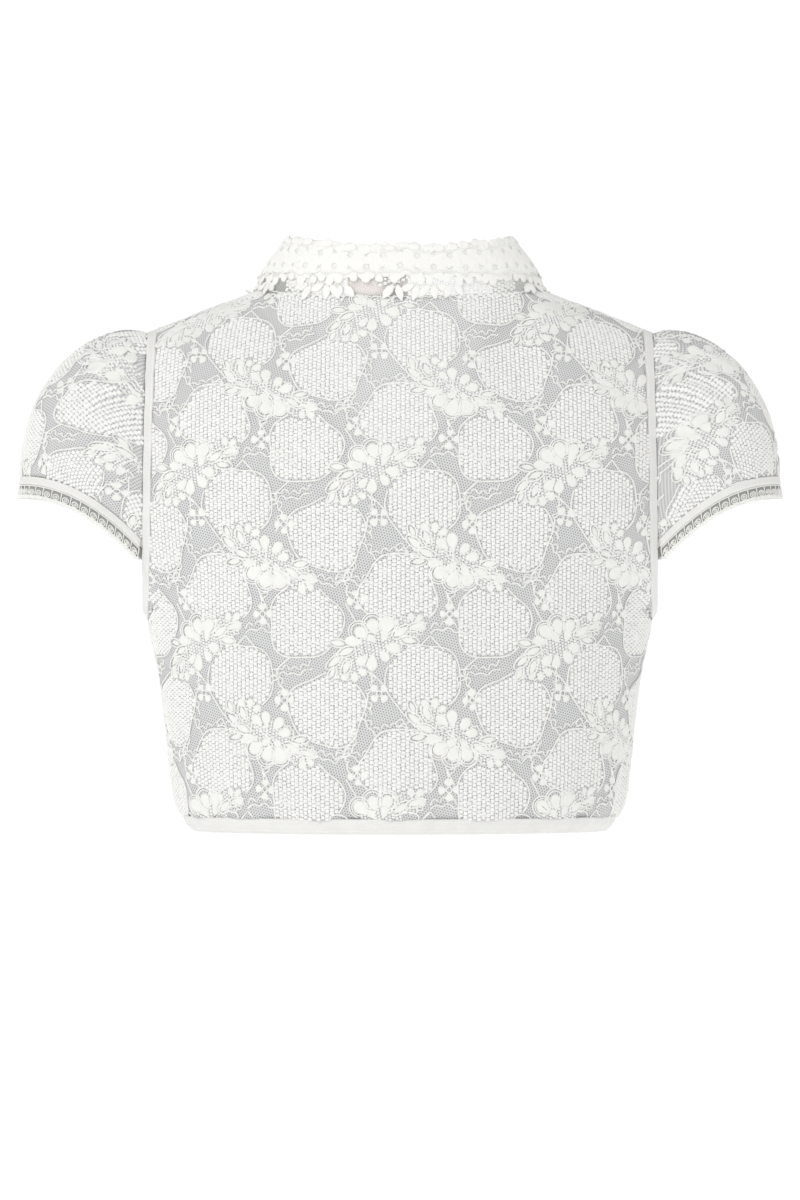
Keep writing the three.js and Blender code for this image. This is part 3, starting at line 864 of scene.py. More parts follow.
class Graph:
    """A node tree under construction."""

    def __init__(self, tree: NodeTree) -> None:
        """Keeps the tree."""
        self.tree = tree

    def add_input(self, name: str, kind: str, value: object = None) -> None:
        """Adds an input to the tree's interface."""
        made = self.tree.interface.new_socket(name=name, in_out="INPUT", socket_type=f"NodeSocket{kind}")
        if value is not None:
            made.default_value = value

    def add_output(self, name: str, kind: str) -> None:
        """Adds an output to the tree's interface."""
        self.tree.interface.new_socket(name=name, in_out="OUTPUT", socket_type=f"NodeSocket{kind}")

    def node(self, kind: str, **settings: object) -> Node:
        """Adds a node with some of its settings."""
        made = self.tree.nodes.new(kind)
        for name, value in settings.items():
            setattr(made, name, value)
        return made

    def join(self, *links: tuple[Node, str | int, Node, str | int]) -> None:
        """Joins outputs of nodes to inputs of others."""
        for source, output, target, slot in links:
            self.tree.links.new(source.outputs[output], target.inputs[slot])

    def math(self, operation: str, *values: object) -> NodeSocket:
        """Adds a math node whose inputs are numbers or sockets, and returns its output.

        Args:
            operation: what it works out.
            values: its inputs.

        Returns:
            The node's output.
        """
        node = self.node("ShaderNodeMath", operation=operation)
        for slot, value in zip(node.inputs, values):
            if isinstance(value, NodeSocket):
                self.tree.links.new(value, slot)
            else:
                slot.default_value = value
        return node.outputs[0]


class Flow(Graph):
    """A geometry node tree that turns one geometry into another with a finish."""

    def __init__(self, name: str, inputs: Sequence[tuple[str, str, object]]) -> None:
        """Makes the tree with its inputs, each a name, a kind and a value."""
        super().__init__(bpy.data.node_groups.new(name, "GeometryNodeTree"))
        for label, kind, value in (*inputs, ("Finish", "Material", None)):
            self.add_input(label, kind, value)
        self.add_output("Geometry", "Geometry")
        self.entry = self.node("NodeGroupInput")

    def finish(self, source: Node, output: str) -> NodeTree:
        """Makes the result real and smooth, and gives it its finish.

        Args:
            source: the node with the result.
            output: name of that node's output.

        Returns:
            The finished tree.
        """
        real, soft = self.node("GeometryNodeRealizeInstances"), self.node("GeometryNodeSetShadeSmooth")
        finish, leave = self.node("GeometryNodeSetMaterial"), self.node("NodeGroupOutput")
        self.join(
            (source, output, real, "Geometry"),
            (real, "Geometry", soft, "Geometry"),
            (soft, "Geometry", finish, "Geometry"),
            (self.entry, "Finish", finish, "Material"),
            (finish, "Geometry", leave, "Geometry"),
        )
        return self.tree


def scatter_tree() -> NodeTree:
    """Puts a small shape on each point, turned and sized by the point's attributes."""
    inputs = (
        ("Points", "Geometry", None),
        ("Shape", "Object", None),
        ("Size variation", "Float", 0.08),
        ("Seed", "Int", 7),
    )
    flow = Flow("scatter_shapes", inputs)
    shape, spread = flow.node("GeometryNodeObjectInfo"), flow.node("GeometryNodeInstanceOnPoints")
    turn, size = (flow.node("GeometryNodeInputNamedAttribute", data_type="FLOAT_VECTOR") for _ in range(2))
    turn.inputs["Name"].default_value = "turn"
    size.inputs["Name"].default_value = "size"
    rotation = flow.node("FunctionNodeEulerToRotation")
    low = flow.node("ShaderNodeMath", operation="SUBTRACT")
    high = flow.node("ShaderNodeMath", operation="ADD")
    low.inputs[0].default_value = high.inputs[0].default_value = 1.0
    chance = flow.node("FunctionNodeRandomValue", data_type="FLOAT")
    scale = flow.node("ShaderNodeVectorMath", operation="SCALE")
    flow.join(
        (flow.entry, "Points", spread, "Points"),
        (flow.entry, "Shape", shape, "Object"),
        (shape, "Geometry", spread, "Instance"),
        (turn, "Attribute", rotation, "Euler"),
        (rotation, "Rotation", spread, "Rotation"),
        (flow.entry, "Size variation", low, 1),
        (flow.entry, "Size variation", high, 1),
        (low, 0, chance, 2),
        (high, 0, chance, 3),
        (flow.entry, "Seed", chance, "Seed"),
        (size, "Attribute", scale, 0),
        (chance, 1, scale, "Scale"),
        (scale, "Vector", spread, "Scale"),
    )
    return flow.finish(spread, "Instances")


def cord_tree() -> NodeTree:
    """Runs a round thread along each chain of edges."""
    flow = Flow("run_cords", (("Paths", "Geometry", None), ("Radius", "Float", 0.0005), ("Sides", "Int", 4)))
    curve, tube = flow.node("GeometryNodeMeshToCurve"), flow.node("GeometryNodeCurveToMesh")
    ring = flow.node("GeometryNodeCurvePrimitiveCircle", mode="RADIUS")
    tube.inputs["Fill Caps"].default_value = True
    flow.join(
        (flow.entry, "Paths", curve, "Mesh"),
        (flow.entry, "Sides", ring, "Resolution"),
        (flow.entry, "Radius", ring, "Radius"),
        (curve, "Curve", tube, "Curve"),
        (ring, "Curve", tube, "Profile Curve"),
    )
    return flow.finish(tube, "Mesh")


def run_tree(holder: Object, tree: NodeTree, values: dict[str, object]) -> Object:
    """Runs a node tree on an object and keeps its result as a plain mesh.

    Args:
        holder: the object whose mesh feeds the tree.
        tree: the node tree.
        values: the tree's inputs by name.

    Returns:
        The same object, with the finished mesh and no modifier.
    """
    modifier = holder.modifiers.new(tree.name, "NODES")
    modifier.node_group = tree
    for item in tree.interface.items_tree:
        if item.item_type == "SOCKET" and item.in_out == "INPUT" and item.name in values:
            modifier[item.identifier] = values[item.name]
    holder.update_tag()
    graph = bpy.context.evaluated_depsgraph_get()
    graph.update()
    mesh = bpy.data.meshes.new_from_object(holder.evaluated_get(graph), depsgraph=graph)
    holder.modifiers.clear()
    old = holder.data
    holder.data = mesh
    mesh.name = holder.name
    bpy.data.meshes.remove(old)
    return holder


@dataclass
class Studs:
    """Places for small shapes: points, turns and sizes, gathered from many motifs."""

    points: list[Array] = field(default_factory=list)
    turns: list[Array] = field(default_factory=list)
    sizes: list[Array] = field(default_factory=list)

    def add(self, points: Array, normals: Array, forward: Array, sizes: Array) -> None:
        """Adds shapes that face along the normals, with their X axis forward.

        Args:
            points: their places.
            normals: the ways that they face.
            forward: the ways that they point.
            sizes: their lengths, widths and heights.
        """
        if len(points) == 0:
            return
        x = unit(forward - normals * np.sum(forward * normals, axis=-1, keepdims=True))
        y = np.cross(normals, x)
        roll, pitch = np.arctan2(y[:, 2], normals[:, 2]), -np.arcsin(np.clip(x[:, 2], -1, 1))
        self.points.append(points)
        self.turns.append(np.stack([roll, pitch, np.arctan2(x[:, 1], x[:, 0])], axis=-1))
        self.sizes.append(np.broadcast_to(sizes, (len(points), 3)))

    def grow(
        self,
        name: str,
        shape: Object,
        tree: NodeTree,
        material: Material,
        variation: float,
        seed: int,
    ) -> Object:
        """Makes one object with the shape at every place."""
        holder = mesh_object(name, np.concatenate(self.points), [], material)
        for label, rows in (("turn", np.concatenate(self.turns)), ("size", np.concatenate(self.sizes) * MM)):
            attribute = holder.data.attributes.new(label, "FLOAT_VECTOR", "POINT")
            attribute.data.foreach_set("vector", rows.astype(np.float32).ravel())
        values = {"Shape": shape, "Size variation": variation, "Seed": seed, "Finish": material}
        return run_tree(holder, tree, values)


@dataclass
class Cords:
    """Paths of threads, gathered from many motifs."""

    paths: list[Array] = field(default_factory=list)

    def add(self, points: Array, keep: Array | None = None) -> None:
        """Adds a path, broken wherever keep is False."""
        if keep is None:
            keep = np.ones(len(points), dtype=bool)
        edges = np.flatnonzero(np.diff(np.concatenate([[0], keep.astype(int), [0]])))
        for start, stop in zip(edges[::2], edges[1::2]):
            if stop - start >= 3:
                self.paths.append(points[start:stop])

    def grow(self, name: str, tree: NodeTree, material: Material, radius: float, sides: int) -> Object:
        """Makes one object with a thread along every path."""
        edges, count = [], 0
        for path in self.paths:
            index = np.arange(count, count + len(path))
            edges.append(np.stack([index[:-1], index[1:]], -1))
            count += len(path)
        holder = smooth_object(name, np.concatenate(self.paths) * MM, np.concatenate(edges).tolist(), [])
        return run_tree(holder, tree, {"Radius": radius * MM, "Sides": sides, "Finish": material})


# Small shapes that repeat


def capped(name: str, rings: Sequence[Array], tip: tuple[float, float, float]) -> Object:
    """A closed shape of size one, from a flat base over rings to its tip.

    The scatter tree repeats it, and it is removed before the end.
    """
    count, sides = len(rings), len(rings[0])
    last = (count - 1) * sides
    faces = grid_faces(count, sides, ring=True).tolist()
    faces += [(last + k, last + (k + 1) % sides, last + sides) for k in range(sides)]
    faces.append(range(sides)[::-1])
    return smooth_object(name, np.concatenate([*rings, [tip]]), [], faces)


def dome_template(
    name: str, half_width: float, skew: float, blunt: float, crease: float, sides: int = 10
) -> Object:
    """A puffy petal or leaf with its base at the origin, one long and one wide.

    Args:
        name: the object's name.
        half_width: half its greatest width.
        skew: over one puts the greatest width nearer the tip.
        blunt: under one makes the ends rounder.
        crease: how deep the middle vein dips.
        sides: corners of its outline.

    Returns:
        The template object.
    """
    around = np.linspace(0, TURN, sides, endpoint=False)
    along = 0.5 - 0.5 * np.cos(around)
    wide = half_width * np.sin(math.pi * along**skew) ** blunt * np.sign(np.sin(around).round(9))
    rings = []
    for scale, height in ((1.0, -0.25), (0.96, 0.5), (0.76, 0.8), (0.4, 1.0)):
        dip = crease * (1 - np.minimum(1, np.abs(wide) * scale / 0.22)) if scale < 0.95 else 0.0
        rings.append(np.stack([0.5 + (along - 0.5) * scale, wide * scale, height - dip * np.ones(sides)], -1))
    return capped(name, rings, (0.5, 0.0, 1.02 - crease))


def cell_template() -> Object:
    """One stitch of the honeycomb filling: a small cushion, one by one by one."""
    corners = np.array([(-1, -1), (1, -1), (1, 1), (-1, 1)])
    foot, top = vec(*(0.5 * corners).T, -0.3), vec(*(0.3 * corners).T, 1.0)
    faces = [*grid_faces(2, 4, ring=True), (4, 5, 6, 7)]
    return smooth_object("honeycomb_stitch", np.concatenate([foot, top]), [], faces)


def bead_template(sides: int = 6) -> Object:
    """A low round knot."""
    around = np.linspace(0, TURN, sides, endpoint=False)
    profile = ((0.5, -0.3), (0.46, 0.4), (0.24, 0.9))
    rings = [vec(radius * np.cos(around), radius * np.sin(around), height) for radius, height in profile]
    return capped("bead", rings, (0.0, 0.0, 1.0))


class Shapes:
    """The small shapes and node trees that all pieces share."""

    def __init__(self) -> None:
        """Makes them once."""
        self.petal = dome_template("petal", 0.5, 1.15, 0.55, 0.5)
        self.broad_petal = dome_template("broad_petal", 0.5, 1.5, 0.6, 0.5)
        self.leaf = dome_template("leaf", 0.46, 0.9, 0.95, 0.4)
        self.cell = cell_template()
        self.bead = bead_template()
        self.scatter = scatter_tree()
        self.cords = cord_tree()

    def discard(self) -> None:
        """Removes the shapes when every piece is made."""
        for shape in (self.petal, self.broad_petal, self.leaf, self.cell, self.bead):
            bpy.data.objects.remove(shape)


# Finishes


class Effect(Graph):
    """A shader node group with named inputs and outputs."""

    def __init__(self, name: str, inputs: dict[str, float | None], outputs: Sequence[str]) -> None:
        """Makes the group's sockets: an input whose value is None is a vector."""
        super().__init__(bpy.data.node_groups.new(name, "ShaderNodeTree"))
        for label, value in inputs.items():
            self.add_input(label, "Vector" if value is None else "Float", value)
        for label in outputs:
            self.add_output(label, "Float")
        self.entry, self.leave = self.node("NodeGroupInput"), self.node("NodeGroupOutput")

    def split(self) -> Node:
        """Splits the vector input into its coordinates."""
        parts = self.node("ShaderNodeSeparateXYZ")
        self.join((self.entry, "Vector", parts, 0))
        return parts

    def out(self, label: str, value: NodeSocket) -> None:
        """Connects an output."""
        self.tree.links.new(value, self.leave.inputs[label])


def net_effect() -> NodeTree:
    """A fine hexagonal net: where its holes are, and how high its threads stand."""
    effect = Effect("fine_net", {"Vector": None, "Pitch": 0.0014, "Open": 0.1}, ("Hole", "Height"))
    place, sizes = effect.split(), effect.entry.outputs
    waves = None
    for degrees in (15.0, 75.0, 135.0):
        x = effect.math("MULTIPLY", place.outputs["X"], math.cos(math.radians(degrees)))
        y = effect.math("MULTIPLY", place.outputs["Y"], math.sin(math.radians(degrees)))
        turned_by = effect.math("DIVIDE", effect.math("ADD", x, y), sizes["Pitch"])
        wave = effect.math("COSINE", effect.math("MULTIPLY", turned_by, TURN))
        waves = wave if waves is None else effect.math("ADD", waves, wave)
    lowered = effect.math("SUBTRACT", waves, sizes["Open"])
    hole = effect.math("MINIMUM", effect.math("MAXIMUM", lowered, 0.0), 1.0)
    effect.out("Hole", hole)
    effect.out("Height", effect.math("SUBTRACT", 1.0, hole))
    return effect.tree


def thread_effect() -> NodeTree:
    """Twisted cotton thread: fine relief and a slight unevenness of tone."""
    effect = Effect("cotton_thread", {"Vector": None, "Twist": 1600.0, "Cloud": 60.0}, ("Height", "Tone"))
    for scale, detail, label in (("Twist", 3.0, "Height"), ("Cloud", 2.0, "Tone")):
        noise = effect.node("ShaderNodeTexNoise")
        noise.inputs["Detail"].default_value = detail
        effect.join((effect.entry, "Vector", noise, "Vector"), (effect.entry, scale, noise, "Scale"))
        effect.out(label, noise.outputs["Fac"])
    return effect.tree


def weave_effect() -> NodeTree:
    """Plain weave: the height of crossing threads on a UV map in metres."""
    effect = Effect("plain_weave", {"Vector": None, "Pitch": 0.0009}, ("Height",))
    place, waves = effect.split(), []
    for axis in ("X", "Y"):
        turns = effect.math("DIVIDE", place.outputs[axis], effect.entry.outputs["Pitch"])
        waves.append(effect.math("SINE", effect.math("MULTIPLY", turns, math.pi)))
    effect.out("Height", effect.math("ABSOLUTE", effect.math("MULTIPLY", *waves)))
    return effect.tree


class Relief(Enum):
    """The shared effect that gives a finish its relief."""

    THREAD = "thread"
    NET = "net"
    WEAVE = "weave"


@dataclass(frozen=True)
class Finish:
    """A cloth, thread or hard finish with its own relief.

    The colour runs between two tones: at random on thread, and as painted shade in a weave's gaps and a net's
    holes. The relief comes from one of the shared effects.
    """

    name: str
    light: tuple[float, float, float]
    shade: tuple[float, float, float]
    roughness: float
    effect: Relief
    pitch: float
    relief: float
    sheen: float = 0.1
    coat: float = 0.0
    opacity: float = 1.0
    hole_opacity: float = 1.0

    def build(self, effects: dict[Relief, NodeTree]) -> Material:
        """Makes the material.

        Args:
            effects: the shared shader node groups.

        Returns:
            The material.
        """
        material = bpy.data.materials.new(self.name)
        material.use_nodes = True
        graph = Graph(material.node_tree)
        shader = graph.tree.nodes["Principled BSDF"]
        thread = graph.node("ShaderNodeGroup", node_tree=effects[Relief.THREAD])
        graph.join((graph.node("ShaderNodeTexCoord"), "Object", thread, "Vector"))
        tone, height = thread.outputs["Tone"], thread.outputs["Height"]
        mask = graph.math("MULTIPLY", tone, 0.6)
        if self.effect is not Relief.THREAD:
            pattern = graph.node("ShaderNodeGroup", node_tree=effects[self.effect])
            graph.join((graph.node("ShaderNodeUVMap", uv_map=FABRIC), "UV", pattern, "Vector"))
            pattern.inputs["Pitch"].default_value = self.pitch
            height = graph.math("ADD", pattern.outputs["Height"], graph.math("MULTIPLY", height, 0.4))
        if self.effect is Relief.WEAVE:
            # A weave's gaps between threads take the darker tone: painted shade, at a strength that varies at
            # random.
            mask = graph.math("MULTIPLY", graph.math("SUBTRACT", 1.0, pattern.outputs["Height"]), tone)
        elif self.effect is Relief.NET:
            # A net's holes take the darker tone: painted shade in the holes.
            mask = pattern.outputs["Hole"]
            opacity = graph.node("ShaderNodeMapRange")
            opacity.inputs["To Min"].default_value = self.opacity
            opacity.inputs["To Max"].default_value = self.hole_opacity
            graph.join((pattern, "Hole", opacity, "Value"), (opacity, "Result", shader, "Alpha"))
        blend = graph.node("ShaderNodeMix", data_type="RGBA")
        bump = graph.node("ShaderNodeBump")
        graph.tree.links.new(mask, blend.inputs["Factor"])
        graph.tree.links.new(height, bump.inputs["Height"])
        graph.join((blend, "Result", shader, "Base Color"), (bump, "Normal", shader, "Normal"))
        for node, label, value in (
            (shader, "Roughness", self.roughness),
            (shader, "Sheen Weight", self.sheen),
            (shader, "Coat Weight", self.coat),
            (shader, "Coat Roughness", 0.2),
            (blend, "A", (*self.light, 1.0)),
            (blend, "B", (*self.shade, 1.0)),
            (bump, "Strength", self.relief),
            (bump, "Distance", RELIEF_DEPTH),
        ):
            node.inputs[label].default_value = value
        return material


# The lace net's grey is painted shade: the net itself is white. Its holes also let real light through.
NET = Finish(
    "lace_net", (0.70, 0.705, 0.70), (0.50, 0.505, 0.51), 0.85, Relief.NET, 0.0016, 0.35, 0.05,
    opacity=0.9, hole_opacity=0.55,
)
# The collar net's grey is painted shade too, a little paler: the net itself is white.
COLLAR_NET = Finish(
    "collar_net", (0.78, 0.785, 0.78), (0.60, 0.605, 0.60), 0.85, Relief.NET, 0.0016, 0.35, 0.05,
    opacity=0.2, hole_opacity=0.04,
)
# Painted shade: a dark sheet behind the cuff edging's windows, standing for the shadowed inside of the
# sleeve.
EDGING_PAINTED_SHADE = Finish(
    "edging_net", (0.41, 0.41, 0.40), (0.31, 0.31, 0.305), 0.9, Relief.NET, 0.0011, 0.3, 0.0,
    hole_opacity=0.85,
)
THREAD = Finish("lace_thread", (0.90, 0.895, 0.875), (0.84, 0.835, 0.81), 0.75, Relief.THREAD, 0.001, 0.35)
PETAL = Finish("petal_stitch", (0.86, 0.86, 0.825), (0.74, 0.735, 0.70), 0.8, Relief.THREAD, 0.001, 0.6)
GUIPURE = Finish("guipure_thread", (0.885, 0.88, 0.85), (0.84, 0.835, 0.80), 0.78, Relief.THREAD, 0.001, 0.45)
COLLAR_GROUND = Finish(
    "guipure_ground", (0.875, 0.87, 0.84), (0.81, 0.80, 0.765), 0.8, Relief.WEAVE, 0.0013, 0.5
)
BAND = Finish("cotton_band", (0.83, 0.825, 0.80), (0.70, 0.695, 0.67), 0.8, Relief.WEAVE, 0.0008, 0.5)
STITCH = Finish("sewing_thread", (0.91, 0.905, 0.88), (0.84, 0.83, 0.80), 0.6, Relief.THREAD, 0.001, 0.3)
BUTTON = Finish(
    "pearl_button", (0.90, 0.89, 0.85), (0.82, 0.81, 0.77), 0.28, Relief.THREAD, 0.001, 0.02, 0.0, coat=0.4
)
LABEL = Finish("blank_ribbon", (0.99, 0.92, 0.88), (0.97, 0.88, 0.84), 0.5, Relief.WEAVE, 0.0005, 0.3)


@dataclass
class Wardrobe:
    """The finished materials."""

    made: dict[str, Material] = field(default_factory=dict)

    def __post_init__(self) -> None:
        """Builds the shared effects once."""
        self.effects = {
            Relief.NET: net_effect(),
            Relief.THREAD: thread_effect(),
            Relief.WEAVE: weave_effect(),
        }

    def get(self, finish: Finish) -> Material:
        """The material of a finish, made the first time it is asked for."""
        if finish.name not in self.made:
            self.made[finish.name] = finish.build(self.effects)
        return self.made[finish.name]


# The lace design, on the flat fabric in millimetres: X to the right and Y up, seen from outside


@dataclass(frozen=True)
class Patch:
    """A rounded patch of honeycomb filling."""

    x: float
    y: float
    half_width: float
    half_height: float
    wobble: float

    def reach(self, angle: Array) -> Array:
        """Its outline's distance at each angle, for a patch of half size one."""
        return 1 + 0.06 * np.cos(3 * angle + self.wobble) + 0.045 * np.cos(5 * angle - 2 * self.wobble)


@dataclass(frozen=True)
class Petal:
    """A petal or leaf: where its base is, and the way it points."""

    x: float
    y: float
    turn: float
    length: float
    width: float
    leaf: bool = False
    edged: bool = False


@dataclass(frozen=True)
class Spray:
    """Where a motif lies on the fabric, how it is turned, and -1 for flip if it is upside down."""

    x: float
    y: float
    turn: float
    flip: float

    def onto(self, dx: Array, dy: Array) -> Array:
        """Places given in the motif's own frame, on the fabric."""
        x, y = turned(dx, dy * self.flip, self.turn)
        return np.stack([self.x + x, self.y + y], -1)


@dataclass(frozen=True)
class LaceDesign:
    """A floral repeat: honeycomb patches, sprays between them, blossoms, and scalloped cords."""

    width: float = 123.0
    height: float = 114.0
    cell: tuple[float, float] = (2.95, 2.6)
    fine_cell: tuple[float, float] = (2.3, 2.05)
    patches: tuple[Patch, ...] = (
        Patch(0.0, 0.0, 24.5, 24.5, 0.4),
        Patch(61.5, 20.0, 25.0, 24.0, 2.1),
        Patch(15.0, -57.0, 25.5, 24.0, 3.6),
        Patch(77.0, -38.0, 24.5, 25.0, 5.2),
    )
    blossoms: tuple[tuple[float, float, float], ...] = (
        (-28.5, 5.0, 0.0),
        (34.5, 14.0, 12.0),
        (-13.5, -51.0, 0.0),
        (49.0, -46.5, 40.0),
    )
    sprays: tuple[Spray, ...] = (Spray(49.0, -14.0, 8.0, 1.0), Spray(-22.0, -75.0, -8.0, -1.0))
    petals: tuple[Petal, ...] = (
        Petal(-8.5, 6.0, 134.0, 9.4, 8.8, edged=True),
        Petal(-2.0, 8.0, 98.0, 9.6, 9.2, edged=True),
        Petal(4.5, 7.0, 60.0, 9.2, 8.8, edged=True),
        Petal(-12.5, 2.5, 164.0, 9.0, 6.6),
        Petal(-3.5, 2.0, 120.0, 6.4, 5.6),
        Petal(3.0, 2.0, 68.0, 6.2, 5.4),
        Petal(5.0, -3.0, -18.0, 7.8, 7.2),
        Petal(1.0, -6.5, -60.0, 8.0, 7.2),
        Petal(-5.5, -8.5, -104.0, 8.6, 7.6),
        Petal(-10.0, -7.5, -142.0, 7.4, 6.6),
        Petal(9.5, 3.0, 24.0, 12.0, 5.4, leaf=True),
        Petal(14.5, 0.5, -16.0, 10.5, 4.8, leaf=True),
        Petal(19.5, 6.5, 8.0, 10.5, 4.6, leaf=True),
        Petal(-16.5, -1.0, 194.0, 11.0, 5.2, leaf=True),
        Petal(-22.0, 2.5, 164.0, 9.5, 4.6, leaf=True),
        Petal(-26.0, -5.0, 212.0, 11.0, 5.2, leaf=True),
        Petal(-21.0, -8.0, 242.0, 10.0, 5.0, leaf=True),
        Petal(-18.5, -17.0, 262.0, 5.8, 5.4),
        Petal(-15.0, -15.5, 318.0, 5.6, 5.2),
        Petal(-23.0, -17.5, 206.0, 5.6, 5.2),
        Petal(23.0, 12.0, 96.0, 5.6, 5.2),
        Petal(26.5, 11.5, 40.0, 5.6, 5.2),
        Petal(25.5, 8.5, -24.0, 5.2, 4.8),
        Petal(-31.0, -12.0, 236.0, 8.0, 4.2, leaf=True),
    )
    fills: tuple[tuple[float, float, float, float], ...] = (
        (-1.0, 0.5, 18.0, 11.5),
        (-21.0, -10.5, 12.0, 10.5),
        (21.0, 8.0, 10.5, 7.5),
    )
    rivers: tuple[tuple[tuple[float, float], ...], ...] = (
        ((20.0, 28.5), (29.0, 31.0), (36.0, 27.0), (44.0, 30.5)),
        ((82.0, -3.0), (93.0, -1.0), (103.0, -4.5), (111.0, -2.0), (119.0, -14.0)),
        ((-24.0, -39.0), (-15.0, -29.5), (-5.0, -31.0), (5.0, -26.5)),
        ((37.0, -58.0), (46.0, -70.0), (56.0, -67.0), (68.0, -68.0)),
        ((88.0, -64.0), (97.0, -71.0), (100.0, -80.0)),
        ((30.0, 18.0), (27.0, 28.0), (34.0, 38.0), (31.0, 48.0)),
        ((106.0, 34.0), (96.0, 41.0), (98.0, 52.0)),
        ((42.0, -28.0), (45.0, -37.0), (40.0, -48.0), (44.0, -57.0)),
        ((-30.0, 14.0), (-24.0, 24.0), (-14.0, 30.0), (-2.0, 33.0)),
        ((60.0, 50.0), (72.0, 47.0), (84.0, 41.0), (90.0, 30.0)),
        ((-4.0, -86.0), (8.0, -84.0), (20.0, -88.0), (30.0, -82.0)),
        ((102.0, -30.0), (108.0, -40.0), (104.0, -52.0)),
    )
    brides: tuple[tuple[float, float, float, float], ...] = (
        (10.0, 41.0, 16.0, 32.0),
        (16.0, 32.0, 22.0, 44.0),
        (74.0, -17.0, 82.0, -9.0),
        (82.0, -9.0, 91.0, -19.0),
        (-10.0, -23.0, -19.0, -31.0),
        (44.0, -33.0, 52.0, -41.0),
        (34.0, 0.0, 27.0, 12.0),
        (98.0, 8.0, 92.0, 20.0),
    )


def turned(x: Array, y: Array, degrees: float) -> tuple[Array, Array]:
    """Turns flat coordinates about the origin."""
    c, s = math.cos(math.radians(degrees)), math.sin(math.radians(degrees))
    return x * c - y * s, x * s + y * c


def scalloped(points: Sequence[tuple[float, float]], wave: float, swing: float, step: float = 1.2) -> Array:
    """A flat path through some points, with small scallops along it.

    Args:
        points: the corners.
        wave: length of a scallop.
        swing: how far it swings aside.
        step: way between the path's points.

    Returns:
        The points of the path.
    """
    corners = np.array(points, dtype=float)
    share = np.linspace(0, len(corners) - 1, 12 * len(corners))
    eased = np.floor(share) + 0.5 * (share % 1) + 0.5 * smooth(share % 1)
    line = sample(corners, np.arange(len(corners)), eased)
    run = run_length(line)
    even = np.linspace(0, run[-1], max(6, int(run[-1] / step)))
    path = sample(line, run, even)
    along = unit(np.gradient(path, axis=0))
    side = np.stack([-along[:, 1], along[:, 0]], -1)
    return path + side * (swing * np.abs(np.sin(even / wave * math.pi)) - swing / 2)[:, None]


def oval(x: float, y: float, width: float, height: float, count: int) -> Array:
    """A closed flat path round an oval."""
    around = np.linspace(0, TURN, count)
    return np.stack([x + width * np.cos(around), y + height * np.sin(around)], -1)


def brick_places(cell: tuple[float, float], columns: int, rows: int) -> tuple[Array, Array]:
    """Places of a filling's cells round the origin, every second column half a cell higher."""
    i, j = np.meshgrid(np.arange(-columns, columns + 1), np.arange(-rows, rows + 1), indexing="ij")
    return (i * cell[0]).ravel(), ((j + 0.5 * (np.abs(i) % 2)) * cell[1]).ravel()


